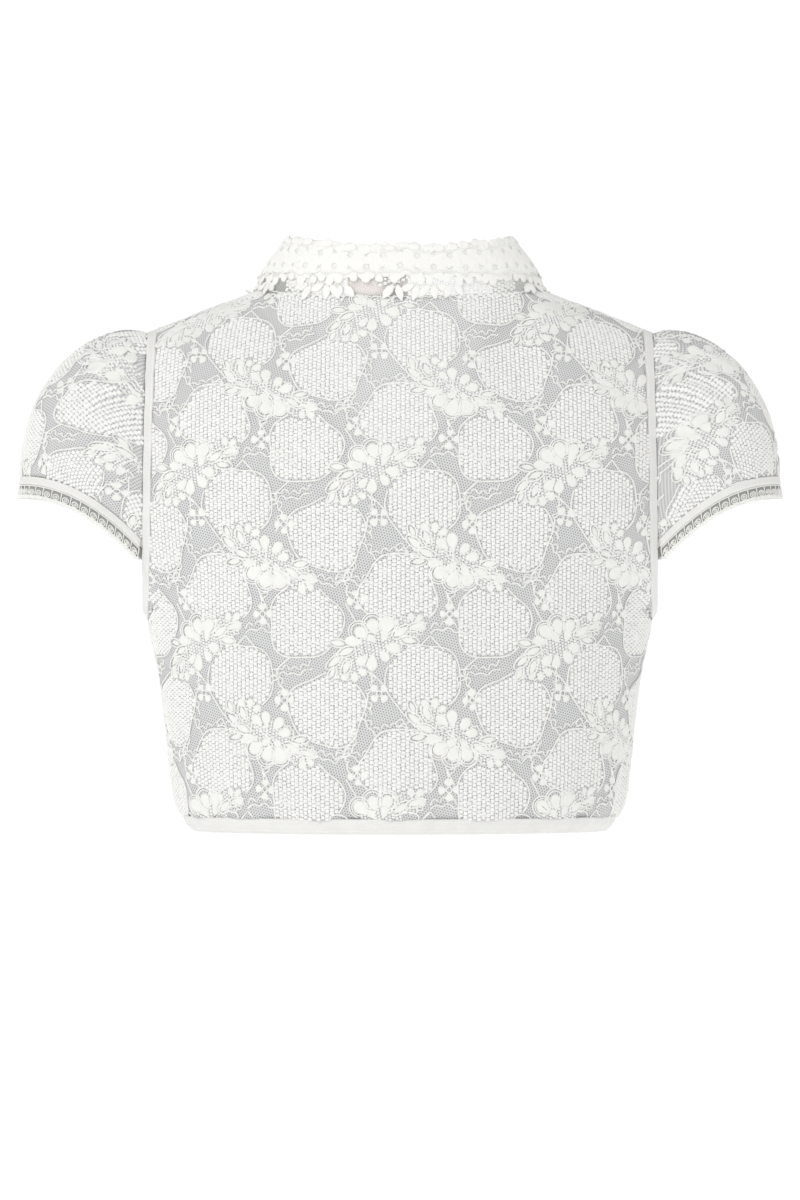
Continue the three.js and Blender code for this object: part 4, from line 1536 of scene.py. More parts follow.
class LaceWork:
    """Works the lace design onto one piece of cloth, as raised stitches, petals and cords."""

    petal_lift = 0.15

    def __init__(self, cloth: Cloth, design: LaceDesign, shift: tuple[float, float], seed: int) -> None:
        """Keeps the cloth and the design, and lists the repeats that may touch the cloth.

        Args:
            cloth: the piece that carries the lace.
            design: the floral repeat.
            shift: where a repeat starts on this piece.
            seed: of the small unevenness of hand.
        """
        self.cloth = cloth
        self.design = design
        self.chance = np.random.default_rng(seed)
        self.cells, self.petals, self.leaves, self.cords = Studs(), Studs(), Studs(), Cords()
        (self.left, self.right), (self.low, self.high) = cloth.span(0), cloth.span(1)
        across = self._starts(self.left, self.right, shift[0], design.width)
        along = self._starts(self.low, self.high, shift[1], design.height)
        self.origins = [(x, y) for x in across for y in along]
        moved = [Spray(x + s.x, y + s.y, s.turn, s.flip) for x, y in self.origins for s in design.sprays]
        self.sprays = [s for s in moved if self._near(s.x, s.y, 40)]

    @staticmethod
    def _starts(low: float, high: float, start: float, size: float) -> list[float]:
        """Where the repeats that reach a span start."""
        first, last = math.floor((low - start) / size) - 1, math.ceil((high - start) / size) + 2
        return [start + k * size for k in range(first, last)]

    def _near(self, x: float, y: float, margin: float) -> bool:
        """True if a flat place may lie on the piece."""
        return self.left - margin < x < self.right + margin and self.low - margin < y < self.high + margin

    def work(self) -> None:
        """Works every motif."""
        self.work_patches()
        for spray in self.sprays:
            self._spray(spray)
        self._blossoms()
        self._rivers()

    def _run(self, flat: Array, lift: float, keep: Array | None = None) -> None:
        """Runs a cord along a flat path, where it lies on the piece."""
        spot = self.cloth.place(flat, lift)
        self.cords.add(spot.points, spot.inside if keep is None else spot.inside & keep)

    def _in_petals(self, dx: Array, dy: Array, share: float) -> Array:
        """True where a spray's own petals cover a place, in the spray's frame.

        Args:
            dx: places across.
            dy: places along.
            share: half size of what a petal covers, as a share of its length and width.

        Returns:
            One value for each place.
        """
        hidden = np.zeros(len(dx), dtype=bool)
        for p in self.design.petals:
            ahead, aside = turned(dx - p.x, dy - p.y, -p.turn)
            hidden |= ((ahead / p.length - 0.5) / share) ** 2 + (aside / p.width / share) ** 2 < 1
        return hidden

    def _in_fills(self, dx: Array, dy: Array, grow: float = 1.0) -> Array:
        """True inside a spray's fine filling."""
        hidden = np.zeros(len(dx), dtype=bool)
        for x, y, wide, tall in self.design.fills:
            hidden |= ((dx - x) / wide) ** 2 + ((dy - y) / tall) ** 2 < grow
        return hidden

    def _under_sprays(self, flat: Array) -> Array:
        """True where a spray covers the honeycomb."""
        hidden = np.zeros(len(flat), dtype=bool)
        for s in self.sprays:
            near = np.flatnonzero(np.hypot(flat[:, 0] - s.x, flat[:, 1] - s.y) < 46)
            dx, dy = turned(flat[near, 0] - s.x, flat[near, 1] - s.y, -s.turn)
            hidden[near] |= self._in_fills(dx, dy * s.flip, 1.15) | self._in_petals(dx, dy * s.flip, 0.55)
        return hidden

    def _stitches(
        self, flat: Array, cell: tuple[float, float], spread: tuple[float, float], height: float
    ) -> None:
        """Small cushions at flat places.

        Args:
            flat: the places.
            cell: width and height of the filling's cell.
            spread: least and greatest share of the cell that a stitch fills.
            height: how high it stands.
        """
        size = self.chance.uniform(*spread, (len(flat), 2)) * np.array(cell)
        flat = flat + self.chance.uniform(-0.16, 0.16, flat.shape)
        spot = self.cloth.place(flat, 0.05)
        full = np.column_stack([size * spot.drawn(), np.full(len(flat), height)])
        on = spot.inside
        self.cells.add(spot.points[on], spot.normals[on], spot.width[on], full[on])

    def work_patches(self) -> None:
        """The honeycomb filling and the cord round each patch."""
        grid_x, grid_y = brick_places(self.design.cell, 10, 12)
        around = np.linspace(0, TURN, 60)
        spots = []
        for ox, oy in self.origins:
            for patch in self.design.patches:
                cx, cy = ox + patch.x, oy + patch.y
                if not self._near(cx, cy, 32):
                    continue
                x, y = grid_x / patch.half_width, grid_y / patch.half_height
                keep = np.hypot(x, y) / patch.reach(np.arctan2(y, x)) < 0.95
                spots.append(np.stack([cx + grid_x[keep], cy + grid_y[keep]], -1))
                ring = oval(0.0, 0.0, patch.half_width, patch.half_height, 60) * patch.reach(around)[:, None]
                ring += np.array([cx, cy])
                self._run(ring, 0.5, ~self._under_sprays(ring))
        flat = np.concatenate(spots)
        self._stitches(flat[~self._under_sprays(flat)], self.design.cell, (0.78, 0.96), 0.62)

    def _lay(self, petals: Sequence[Petal], spot: Spray, inward: float = 0.0) -> None:
        """Lays petals of one motif on the cloth, those that are no leaves drawn inward by a share.

        Args:
            petals: the petals.
            spot: where the motif lies.
            inward: share of their length by which petals start further in.
        """
        turn, flip = spot.turn, spot.flip
        dx, dy = turned(np.array([p.x for p in petals]), np.array([p.y * flip for p in petals]), turn)
        degrees = np.array([p.turn * flip + turn for p in petals])
        length, width = (np.array([getattr(p, side) for p in petals]) for side in ("length", "width"))
        leafy = np.array([p.leaf for p in petals])
        drawn, angle = length * np.where(leafy, 0.0, inward), np.radians(degrees)
        base = np.stack([spot.x + dx - drawn * np.cos(angle), spot.y + dy - drawn * np.sin(angle)], -1)
        seat = self.cloth.seat(base, degrees, length + drawn, width, self.petal_lift)
        sizes = seat.sizes(0.45 + 0.045 * width)
        for studs, kind in ((self.leaves, leafy), (self.petals, ~leafy)):
            pick = seat.inside & kind
            studs.add(seat.points[pick], seat.normals[pick], seat.forward[pick], sizes[pick])

    def _spray(self, s: Spray) -> None:
        """An open flower with leaves on both sides, on a ground of fine stitches."""
        self._lay(self.design.petals, s, 0.3)
        dx, dy = brick_places(self.design.fine_cell, 15, 13)
        keep = self._in_fills(dx, dy, 0.9) & ~self._in_petals(dx, dy, 0.42)
        self._stitches(s.onto(dx[keep], dy[keep]), self.design.fine_cell, (0.55, 0.85), 0.55)
        for p in self.design.petals:
            if not (p.edged or p.leaf):
                continue
            for reach, sweep in ((0.6, 150), (0.76, 112)) if p.edged else ((0.62, 165),):
                a = np.radians(np.linspace(-sweep, sweep, 12))
                ex, ey = turned(p.length * (0.5 + reach * np.cos(a)), p.width * reach * np.sin(a), p.turn)
                self._run(s.onto(p.x + ex, p.y + ey), 0.45)
        for x, y, w, h in self.design.fills:
            edge = scalloped(oval(x, y, w * 1.03, h * 1.05, 9), 4.6, 1.7)
            self._run(s.onto(*edge.T), 0.4, ~self._in_petals(*edge.T, 0.45))

    def _blossoms(self) -> None:
        """Four-petalled blossoms with an open middle."""
        ring = []
        for degrees in (0.0, 90.0, 180.0, 270.0):
            angle = math.radians(degrees)
            ring.append(Petal(1.5 * math.cos(angle), 1.5 * math.sin(angle), degrees, 5.6, 6.0))
        for ox, oy in self.origins:
            for x, y, turn in self.design.blossoms:
                cx, cy = ox + x, oy + y
                if self._near(cx, cy, 10):
                    self._lay(ring, Spray(cx, cy, turn + self.chance.uniform(-6, 6), 1.0))
                    self._run(oval(cx, cy, 1.8, 1.8, 12), 0.5)

    def _rivers(self) -> None:
        """Scalloped cords between the motifs, and the short straight brides."""
        for origin in self.origins:
            for path in self.design.rivers:
                if not self._near(origin[0] + path[0][0], origin[1] + path[0][1], 45):
                    continue
                for wave, swing, shift in ((6.2, 3.3, 0.0), (8.3, 1.8, 3.6)):
                    self._run(scalloped(path, wave, swing) + origin - np.array([0.0, shift]), 0.35)
            for x0, y0, x1, y1 in self.design.brides:
                if self._near(origin[0] + x0, origin[1] + y0, 12):
                    self._run(np.stack([np.linspace(x0, x1, 6), np.linspace(y0, y1, 6)], -1) + origin, 0.35)


# Pieces


@dataclass
class Workshop:
    """What every sub-assembly needs: the forms, small shapes and finishes, and the list of pieces."""

    body: BodyForm
    sleeve: SleeveForm
    collar: CollarForm
    shapes: Shapes
    wardrobe: Wardrobe
    pieces: list[Object] = field(default_factory=list)

    def finish_piece(self, piece: Object, slot: str, *nodes: str) -> Object:
        """Makes a piece ride on the body, hides the solids that it stands for, adds it to the pieces and logs
        its triangles.

        Args:
            piece: the piece.
            slot: not used.
            nodes: names of the solids.

        Returns:
            The piece.
        """
        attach(piece, BODY)
        if nodes:
            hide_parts(*nodes)
        self.pieces.append(piece)
        triangles = sum(len(p.vertices) - 2 for p in piece.data.polygons)
        LOG.info("%s: %d triangles", piece.name, triangles)
        return piece

    def scatter(
        self, name: str, studs: Studs, shape: Object, finish: Finish, variation: float, seed: int
    ) -> Object:
        """Makes one object with a small shape at every place.

        Args:
            name: the object's name.
            studs: the places.
            shape: the shape that repeats.
            finish: its finish.
            variation: share by which its size varies.
            seed: of that variation.

        Returns:
            The new object.
        """
        return studs.grow(name, shape, self.shapes.scatter, self.wardrobe.get(finish), variation, seed)

    def run_cords(self, name: str, cords: Cords, finish: Finish, radius: float, sides: int = 4) -> Object:
        """Makes one object with a thread along every path."""
        return cords.grow(name, self.shapes.cords, self.wardrobe.get(finish), radius, sides)

    def sew(self, name: str, studs: Studs, node: str) -> Object:
        """Makes machine stitches as a piece of their own, on a node's plain band."""
        stitches = self.scatter(name, studs, self.shapes.cell, STITCH, 0.05, 3)
        return self.finish_piece(stitches, "cotton_band", node)


@dataclass
class LacePieces:
    """The five lace pieces: back, fronts and sleeves, each a sheer net with raised lace on it."""

    shop: Workshop
    columns: int = 58
    rows: int = 84
    thickness: float = 0.5
    creases: float = 0.5
    lean_share: float = 0.41

    def _panel(self, rise: Rise, left: float, right: float) -> Cloth:
        """Grid of a panel between two sides.

        Args:
            rise: the panel's side of the body.
            left: share of the way to the edge where it starts, negative across the centre.
            right: share where it ends.

        Returns:
            The panel's cloth.
        """
        body = self.shop.body
        count = self.columns * (2 if left < 0 else 1)
        low, high = self.rows * 6 // 10, self.rows * 4 // 10
        rows = np.concatenate([np.linspace(0, 1, low, endpoint=False), np.linspace(1, 2, high)])
        u, t = np.meshgrid(np.linspace(left, right, count + 1), rows)
        grid = body.panel_point(rise, u, t)
        ripple = np.sin(u * 61.0 + 1.3 * np.sin(t * 5.0)) * np.cos(u * 23.0 + 0.7)
        fade = (1 - smooth(t / 0.5)) * (1 - np.abs(u) ** 8)
        outward = level(grid)
        grid = grid + unit(outward) * (self.creases * ripple * fade)[..., None]
        across = run_length(grid[..., :2], axis=1)
        if rise.side is Side.BACK:
            across = across[:, count // 2 : count // 2 + 1] - across
        mid = body.panel_point(rise, u, np.ones_like(t))
        lean = np.maximum(0.0, (mid[..., 1] - grid[..., 1]) * rise.side.value) * (t > 1)
        return Cloth(grid, across, grid[..., 2] + self.lean_share * lean, outward)

    def _sleeve(self) -> Cloth:
        """Grid of the left sleeve."""
        form = self.shop.sleeve
        angle = np.linspace(-form.half_sweep, form.half_sweep, 145)
        angles, shares = np.meshgrid(angle, np.linspace(0, 1, 49))
        grid = form.point(angles, shares)
        middle = run_length(form.point(angle, np.full_like(angle, 0.62)))
        fallen = run_length(grid)
        outward = grid - np.array([150.0, 0.0, self.shop.body.armhole_z])
        return Cloth(grid, np.broadcast_to(-middle, angles.shape), fallen[-1:] - fallen, outward)

    @staticmethod
    def _mirror(cloth: Cloth) -> Cloth:
        """The same piece on the wearer's other side."""
        grid, normals = mirrored_points(cloth.grid), mirrored_points(cloth.normals)
        return Cloth(grid, -cloth.flat[..., 0], cloth.flat[..., 1], normals)

    def _dress(self, name: str, cloth: Cloth, shift: tuple[float, float], seed: int) -> None:
        """Makes a piece's net and the lace raised on it.

        Args:
            name: name of the solid that the piece stands for.
            cloth: its cloth.
            shift: where the repeat starts.
            seed: of its random draws.
        """
        shop, shapes = self.shop, self.shop.shapes
        white = shop.wardrobe.get(NET)
        net = wall_mesh(f"{name}_net", cloth.grid, cloth.normals, 0.0, self.thickness, white, cloth.flat)
        shop.finish_piece(net, "lace", name)
        lace = LaceWork(cloth, LaceDesign(), shift, seed)
        lace.work()
        layers = [
            shop.scatter(f"{name}_honeycomb", lace.cells, shapes.cell, THREAD, 0.05, seed),
            shop.scatter(f"{name}_petals", lace.petals, shapes.broad_petal, PETAL, 0.12, seed + 1),
            shop.scatter(f"{name}_leaves", lace.leaves, shapes.leaf, PETAL, 0.12, seed + 2),
            shop.run_cords(f"{name}_cords", lace.cords, THREAD, 0.58),
        ]
        for layer in layers:
            shop.finish_piece(layer, "lace", name)

    def build(self) -> None:
        """Makes all five pieces."""
        body = self.shop.body
        self._dress("back", self._panel(body.back, -1.0, 1.0), (-62.4, -103.0), 11)
        front = self._panel(body.front, 0.0, 1.0)
        self._dress("front_left", front, (15.0, -138.0), 23)
        self._dress("front_right", self._mirror(front), (-46.0, -130.0), 31)
        sleeve = self._sleeve()
        self._dress("sleeve_left", sleeve, (40.0, 60.0), 43)
        self._dress("sleeve_right", self._mirror(sleeve), (-100.0, 52.0), 59)


@dataclass
class StitchRow:
    """A row of machine stitches along a path."""

    pitch: float = 2.6
    length: float = 1.9
    width: float = 0.5
    height: float = 0.28

    def lay(self, studs: Studs, path: Array, normals: Array) -> None:
        """Adds the row's stitches."""
        run = run_length(path)
        spots = np.arange(self.pitch / 2, run[-1], self.pitch)
        points, facing = sample(path, run, spots), unit(sample(normals, run, spots))
        size = np.array([self.length, self.width, self.height])
        studs.add(points, facing, np.gradient(points, axis=0), size)


@dataclass
class Bindings:
    """The plain strips round the armholes, with a row of stitches near each edge."""

    shop: Workshop
    steps: int = 144
    top: float = 0.5
    bottom: float = -1.6
    turning: float = 1.5
    stitch_inset: float = 1.3

    def build(self) -> None:
        """Makes both bindings and their stitches."""
        shop, body = self.shop, self.shop.body
        angle = np.linspace(0, TURN, self.steps, endpoint=False)
        path, across, normal = body.armhole_edge(angle), body.into_body(angle), body.binding_normal(angle)
        uneven = 0.3 * np.sin(17 * angle) + 0.22 * np.sin(41 * angle + 1.0)
        path = path + across * uneven[:, None] + normal * (0.5 * uneven)[:, None]
        profile = band_profile(body.binding_width, self.top, self.bottom)
        white = shop.wardrobe.get(BAND)
        left = swept_band("armhole_binding_left_strip", path, across, normal, profile, white, True)
        right = mirrored_copy(left, "armhole_binding_right_strip")
        closed = np.append(np.arange(self.steps), 0)
        for piece, hand in ((left, Hand.LEFT), (right, Hand.RIGHT)):
            node = f"armhole_binding_{hand.value}"
            shop.finish_piece(piece, "cotton_band", node)
            studs = Studs()
            for inset in (self.stitch_inset, body.binding_width - self.stitch_inset):
                line = (path + across * inset + normal * (self.top - 0.06))[closed]
                StitchRow().lay(studs, hand.place(line), hand.place(normal[closed]))
            stitches = shop.sew(f"{node}_stitches", studs, node)


@dataclass(frozen=True)
class CuffLine:
    """A stretch of the cuff's line: its points, and the ways that the cuff hangs and faces there."""

    points: Array
    falls: Array
    normals: Array

    def part(self, pick: slice | Array | int) -> CuffLine:
        """Some of its places."""
        return CuffLine(self.points[pick], self.falls[pick], self.normals[pick])

    def below(self, drop: float | Array, inward: float) -> Array:
        """Points below the line and a little inside the cuff's face."""
        return self.points + self.falls * drop - self.normals * inward


@dataclass
class Cuffs:
    """Cuff bands with their crochet edging: a ladder of rings over a row of picots, with a dark sheet of
    painted shade behind the windows.
    """

    shop: Workshop
    windows: int = 34
    steps: int = 12
    rail: float = 0.8
    window_height: float = 5.6
    foot: float = 2.4
    thread: float = 0.46
    ring: float = 1.7
    stitch_inset: float = 1.0

    @property
    def edge(self) -> float:
        """Distance of the edging's upper edge from the cuff's line."""
        return 2 * SEAM + 0.2 + self.shop.sleeve.band

    @property
    def sill(self) -> float:
        """Height of the rail and the windows together."""
        return self.rail + self.window_height

    def _line(self, count: int) -> CuffLine:
        """The cuff's line in equal steps."""
        form = self.shop.sleeve
        fine = np.linspace(-form.half_sweep, form.half_sweep, 1441)
        run = run_length(form.cuff_point(fine))
        angle = np.interp(np.linspace(0, run[-1], count), run, fine)
        return CuffLine(form.cuff_point(angle), form.cuff_fall(angle), form.cuff_normal(angle))

    def _ladder(self, line: CuffLine, hand: Hand) -> Cords:
        """Rails, and a post and two rings for each window.

        Args:
            line: the cuff's line in equal steps.
            hand: the side that is made.

        Returns:
            The threads.
        """
        cords = Cords()
        for drop in (0.35, self.sill + 0.3, self.sill + 1.0):
            cords.add(hand.place(line.below(self.edge + drop, 0.5)))
        post = np.linspace(0.4, self.sill + 0.6, 8)[:, None]
        centre = self.sill - self.ring - 0.2
        half = self.steps // 2
        for k in range(0, len(line.points) - 1, self.steps):
            cords.add(hand.place(line.part(k).below(self.edge + post, 0.45)))
            step = (line.points[k + half + 1] - line.points[k + half])[None]
            for size, sides in ((1.0, 15), (0.42, 9)):
                turn = np.linspace(0, TURN, sides)
                spot = k + self.steps / 2 + (self.steps * 0.31 * size) * np.cos(turn)
                near = np.round(spot).astype(int)
                place = line.part(near)
                ring = place.points + step * (spot - near)[:, None]
                drop = (self.edge + centre + self.ring * size * np.sin(turn))[:, None]
                cords.add(hand.place(ring + place.falls * drop - place.normals * 0.3))
        return cords

    def _picots(self, line: CuffLine, hand: Hand) -> Studs:
        """Two rows of knots along the lower edge, on both faces.

        Args:
            line: the cuff's line in equal steps.
            hand: the side that is made.

        Returns:
            The knots.
        """
        picots, depth = Studs(), self.sill + self.foot
        for first, drop, size in ((2, depth - 1.5, 1.9), (4, depth - 0.5, 1.6)):
            spots = line.part(np.arange(first, len(line.points) - 1, 4))
            outer, inner = spots.below(self.edge + drop, 0.6), spots.below(self.edge + drop, 0.7)
            facing, down = hand.place(spots.normals), hand.place(spots.falls)
            picots.add(hand.place(outer), facing, down, np.array([size, size, 0.75]))
            picots.add(hand.place(inner), -facing, down, np.array([size, size, 0.6]))
        return picots

    def _ground(self, name: str, line: CuffLine, hand: Hand) -> Object:
        """A dark net-textured sheet behind the windows: painted shade for the shadowed inside of the sleeve
        seen through them.
        """
        levels = np.linspace(self.rail - 0.3, self.sill + 0.5, 5)
        face = line.below((self.edge + levels)[:, None, None], 0.95)
        facing = np.broadcast_to(hand.place(line.normals), face.shape)
        flat = np.stack(np.broadcast_arrays(run_length(line.points)[None], levels[:, None]), -1)
        return wall_mesh(name, hand.place(face), facing, 0.0, 0.3, self.shop.wardrobe.get(EDGING_PAINTED_SHADE), flat)

    def _edging(self, hand: Hand) -> list[Object]:
        """The crochet edging of one cuff, in its back and front halves."""
        shop, made = self.shop, []
        count = self.windows * self.steps + 1
        line = self._line(count)
        for place, pick in (("back", slice(0, count // 2 + 1)), ("front", slice(count // 2, count))):
            name, half = f"cuff_edging_{hand.value}_{place}", line.part(pick)
            ladder, picots = self._ladder(half, hand), self._picots(half, hand)
            layers = [
                shop.run_cords(f"{name}_crochet", ladder, GUIPURE, self.thread),
                shop.scatter(f"{name}_picots", picots, shop.shapes.bead, GUIPURE, 0.1, 5),
                self._ground(f"{name}_ground", half.part(slice(None, None, 6)), hand),
            ]
            for piece in layers:
                shop.finish_piece(piece, "guipure", name)
            made += layers
        return made

    def build(self) -> None:
        """Makes both cuffs."""
        shop, form, line = self.shop, self.shop.sleeve, self._line(109)
        base = line.points + line.falls * (SEAM + 0.2)
        profile = band_profile(form.band, 0.45, -1.5, 0.6)
        white = shop.wardrobe.get(BAND)
        left = swept_band("cuff_band_left_strip", base, line.falls, line.normals, profile, white, False)
        right = mirrored_copy(left, "cuff_band_right_strip")
        for piece, hand in ((left, Hand.LEFT), (right, Hand.RIGHT)):
            node = f"cuff_band_{hand.value}"
            shop.finish_piece(piece, "cotton_band", node)
            studs = Studs()
            for inset in (self.stitch_inset, form.band - self.stitch_inset):
                seam = base + line.falls * inset + line.normals * 0.38
                StitchRow().lay(studs, hand.place(seam), hand.place(line.normals))
            layers = [shop.sew(f"{node}_stitches", studs, node), *self._edging(hand)]


@dataclass
class HemCasing:
    """The narrow elastic casing at the hem, drawn into ruches."""

    shop: Workshop
    ruches: int = 58
    per_ruche: int = 8
    clear: float = 9.3
    lap: float = 0.6
    turning: float = 1.3
    fullness: float = 1.12
    stitched_rows: tuple[int, int] = (2, 8)

    def build(self) -> None:
        """Makes the casing with its two stitch lines."""
        shop, body = self.shop, self.shop.body
        top = body.hem_bottom + body.casing
        start = math.asin(self.clear / float(body.section("half_width", np.array(top)))) + 0.006
        angle = np.linspace(start, TURN - start, self.ruches * self.per_ruche + 1)
        heights = np.linspace(top + self.lap, body.hem_bottom, 11)
        angles, z = np.meshgrid(angle, heights)
        grid = body.casing_point(angles, z)
        cloth = Cloth(grid, np.broadcast_to(run_length(grid[0]), z.shape), z, level(grid))
        normals = unit(level(cloth.normals))
        down = (top - z) / body.casing
        wave = 0.5 + 0.5 * np.cos(np.linspace(0, TURN * self.ruches, len(angle)))
        uneven = 0.75 + 0.25 * np.sin(angle * 17.0 + 0.8)
        swell = np.sin(math.pi * np.clip(down, 0, 1)) ** 0.6
        dents = [0.45 * np.exp(-(((down - seam) / 0.07) ** 2)) for seam in (0.2, 0.8)]
        outer = 0.3 + (0.4 + 1.3 * wave * uneven) * swell * (1 - dents[0] - dents[1])
        white = shop.wardrobe.get(BAND)
        piece = wall_mesh("hem_casing_elastic", grid, normals, outer, 1.8, white, cloth.flat)
        shop.finish_piece(piece, "cotton_band", "hem_casing")
        studs = Studs()
        for row in self.stitched_rows:
            StitchRow().lay(studs, grid[row] + normals[row] * (outer[row] - 0.05)[:, None], normals[row])
        stitches = shop.sew("hem_casing_stitches", studs, "hem_casing")


# Length, width and height of the petals of the collar's low flowers
LARGE_PETAL = np.array([8.2, 7.4, 0.34])
SMALL_PETAL = np.array([6.4, 6.6, 0.28])


@dataclass
class Collar:
    """The guipure collar: a dense upper part, an open foot, and leaves that hang over the neckline."""

    shop: Workshop
    tips: float = 10.0
    open_back: float = 11.5
    open_shoulder: float = 4.5
    open_front: float = 6.0
    flower_pitch: float = 22.0
    scallop_pitch: float = 8.6
    leaf_pitch: float = 23.0
    sag: float = 3.2
    net_foot: float = -2.2
    lying_rows: int = 6
    front_columns: int = 61
    back_columns: int = 46
    back_leaves: tuple[tuple[float, tuple[float, ...]], ...] = (
        (-62.0, (196.0, 236.0)),
        (-49.0, (205.0, 262.0, 304.0)),
        (-38.0, (250.0, 312.0)),
        (-3.0, (232.0, 286.0)),
        (11.0, (205.0, 252.0)),
        (22.0, (226.0, 278.0, 330.0)),
        (35.0, (248.0, 306.0)),
    )

    def __post_init__(self) -> None:
        """Makes the collar's cloth, and fixes the unevenness of hand."""
        self.chance = np.random.default_rng(77)
        self.cloth = self._whole()
        self.reach = self.cloth.span(0)[1]
        self.across = self.cloth.flat[self.lying_rows, :, 0]
        self.shoulder = float(-self.across[self.front_columns - 1])

    def _whole(self) -> Cloth:
        """Grid of the whole collar, from the left front round the back to the right front."""
        form, body = self.shop.collar, self.shop.body
        front_u = np.linspace(0.0, body.neck_share, self.front_columns)
        back_u = np.linspace(body.neck_share, 0.0, self.back_columns)[1:]

        def row(points: Callable[[Rise, Array, float], Array], value: float) -> Array:
            """One row of the grid, at a drop below the neckline or a share of the height."""
            left = np.concatenate([points(body.front, front_u, value), points(body.back, back_u, value)])
            left[:, 0] = np.maximum(left[:, 0], SEAM / 2)
            left[-1, 0] = 0.0
            return np.concatenate([left, mirrored_points(left[:-1])[::-1]])

        drops, levels = np.linspace(self.tips, 1.0, self.lying_rows), np.linspace(0, 1, 22)
        grid = np.stack([row(form.lying, d) for d in drops] + [row(form.standing, w) for w in levels])
        across = run_length(grid[self.lying_rows])
        lying = np.broadcast_to(-drops[:, None], (len(drops), len(across)))
        risen = np.concatenate([lying, run_length(grid[self.lying_rows :])])
        return Cloth(grid, np.broadcast_to(across - across[-1] / 2, risen.shape), risen, level(grid))

    def _foot(self, across: Array) -> Array:
        """Height up to which the collar is open, at places along it."""
        share = np.abs(across) / self.shoulder
        back = mix(self.open_back, self.open_shoulder, np.minimum(share, 1.0) ** 1.4)
        past = (np.abs(across) - self.shoulder) / (self.reach - self.shoulder)
        wave = 0.7 * np.sin(across * 0.55) + 0.6 * np.sin(across * 0.23 + 1.0)
        return np.where(share <= 1, back, mix(self.open_shoulder, self.open_front, past)) + wave

    def _top(self, across: Array) -> Array:
        """Height of the collar's upper edge, at places along it."""
        full = np.interp(across, self.across, self.cloth.flat[-1, :, 1])
        bumps = 0.8 * np.sin(across * 0.36) + 0.5 * np.sin(across * 0.17 + 1.0)
        return full - 0.9 - self.sag * smooth((52.0 - np.abs(across)) / 16.0) + bumps

    def _strip(
        self, name: str, low: Array, high: Array, finish: Finish, lift: float, wall: float
    ) -> tuple[Object, Cloth]:
        """A strip of the collar between two heights.

        Args:
            name: the object's name.
            low: its lower edge, at each place along the collar.
            high: its upper edge.
            finish: its finish.
            lift: height of its face above the collar's own face.
            wall: its thickness.

        Returns:
            The new object and its cloth.
        """
        along = mix(low[None], high[None], np.linspace(0, 1, 15)[:, None])
        flat = np.stack([np.broadcast_to(self.across, along.shape), along], -1)
        spot = self.cloth.place(flat.reshape(-1, 2), lift)
        grid, normals = spot.points.reshape(*along.shape, 3), spot.normals.reshape(*along.shape, 3)
        made = wall_mesh(name, grid, normals, 0.0, wall, self.shop.wardrobe.get(finish), flat)
        return made, Cloth(grid, flat[..., 0], flat[..., 1], normals)

    def _lay(
        self, studs: Studs, x: Array, y: Array | float, degrees: Array, size: Array, lift: float
    ) -> None:
        """Lays petals or leaves.

        Args:
            studs: what they are added to.
            x: places of their bases along the collar.
            y: heights of their bases.
            degrees: flat angles that they point along.
            size: their lengths, widths and heights.
            lift: height of their bases above the collar's face.
        """
        flat = np.stack(np.broadcast_arrays(x, y), -1)
        seat = self.cloth.seat(flat, degrees, size[:, 0], size[:, 1], lift)
        on = seat.rooted
        studs.add(seat.points[on], seat.normals[on], seat.forward[on], size[on])

    def _flower(
        self, studs: Studs, x: float, y: float, petals: int, first: float, hole: float, size: Array
    ) -> None:
        """A low open flower.

        Args:
            studs: what its petals are added to.
            x: place of its middle along the collar.
            y: height of its middle.
            petals: how many it has.
            first: angle of the first one.
            hole: radius of its open middle.
            size: length, width and height of a petal.
        """
        angles = first + np.arange(petals) * (360.0 / petals)
        ring_x, ring_y = x + hole * np.cos(np.radians(angles)), y + hole * np.sin(np.radians(angles))
        self._lay(studs, ring_x, ring_y, angles, np.tile(size, (petals, 1)), -0.05)

    def _flowers(self) -> Studs:
        """Low flowers all over the dense part, and the scallops of its two edges."""
        studs, reach = Studs(), self.reach - 6.0
        count = int(2 * reach / self.flower_pitch)
        for k, x in enumerate(np.linspace(-reach, reach, 2 * count + 1)):
            top, foot = float(self._top(np.array([x]))[0]), float(self._foot(np.array([x]))[0])
            large, small = (0.68, 0.30) if k % 2 else (0.32, 0.74)
            self._flower(studs, x, mix(foot, top, large), 6, 15.0 * k, 1.3, LARGE_PETAL)
            self._flower(studs, x, mix(foot, top, small), 5, 10.0 + 25.0 * k, 1.0, SMALL_PETAL)
        x = np.arange(-reach, reach, self.scallop_pitch)
        x = x + self.chance.uniform(-1.4, 1.4, len(x))
        length, width = self.chance.uniform(5.6, 7.6, len(x)), self.chance.uniform(7.6, 9.8, len(x))
        size = np.column_stack([length, width, np.full(len(x), 0.9)])
        self._lay(studs, x, self._top(x) - length + 0.9, np.full(len(x), 90.0), size, 0.1)
        x = np.arange(-reach - 2, reach + 2, 6.6)
        turn = -90.0 + self.chance.uniform(-40, 40, len(x))
        length = self.chance.uniform(5.6, 8.8, len(x))
        size = np.column_stack([length, np.full(len(x), 6.0), np.full(len(x), 0.6)])
        self._lay(studs, x, self._foot(x) + 3.0, turn, size, -0.2)
        return studs

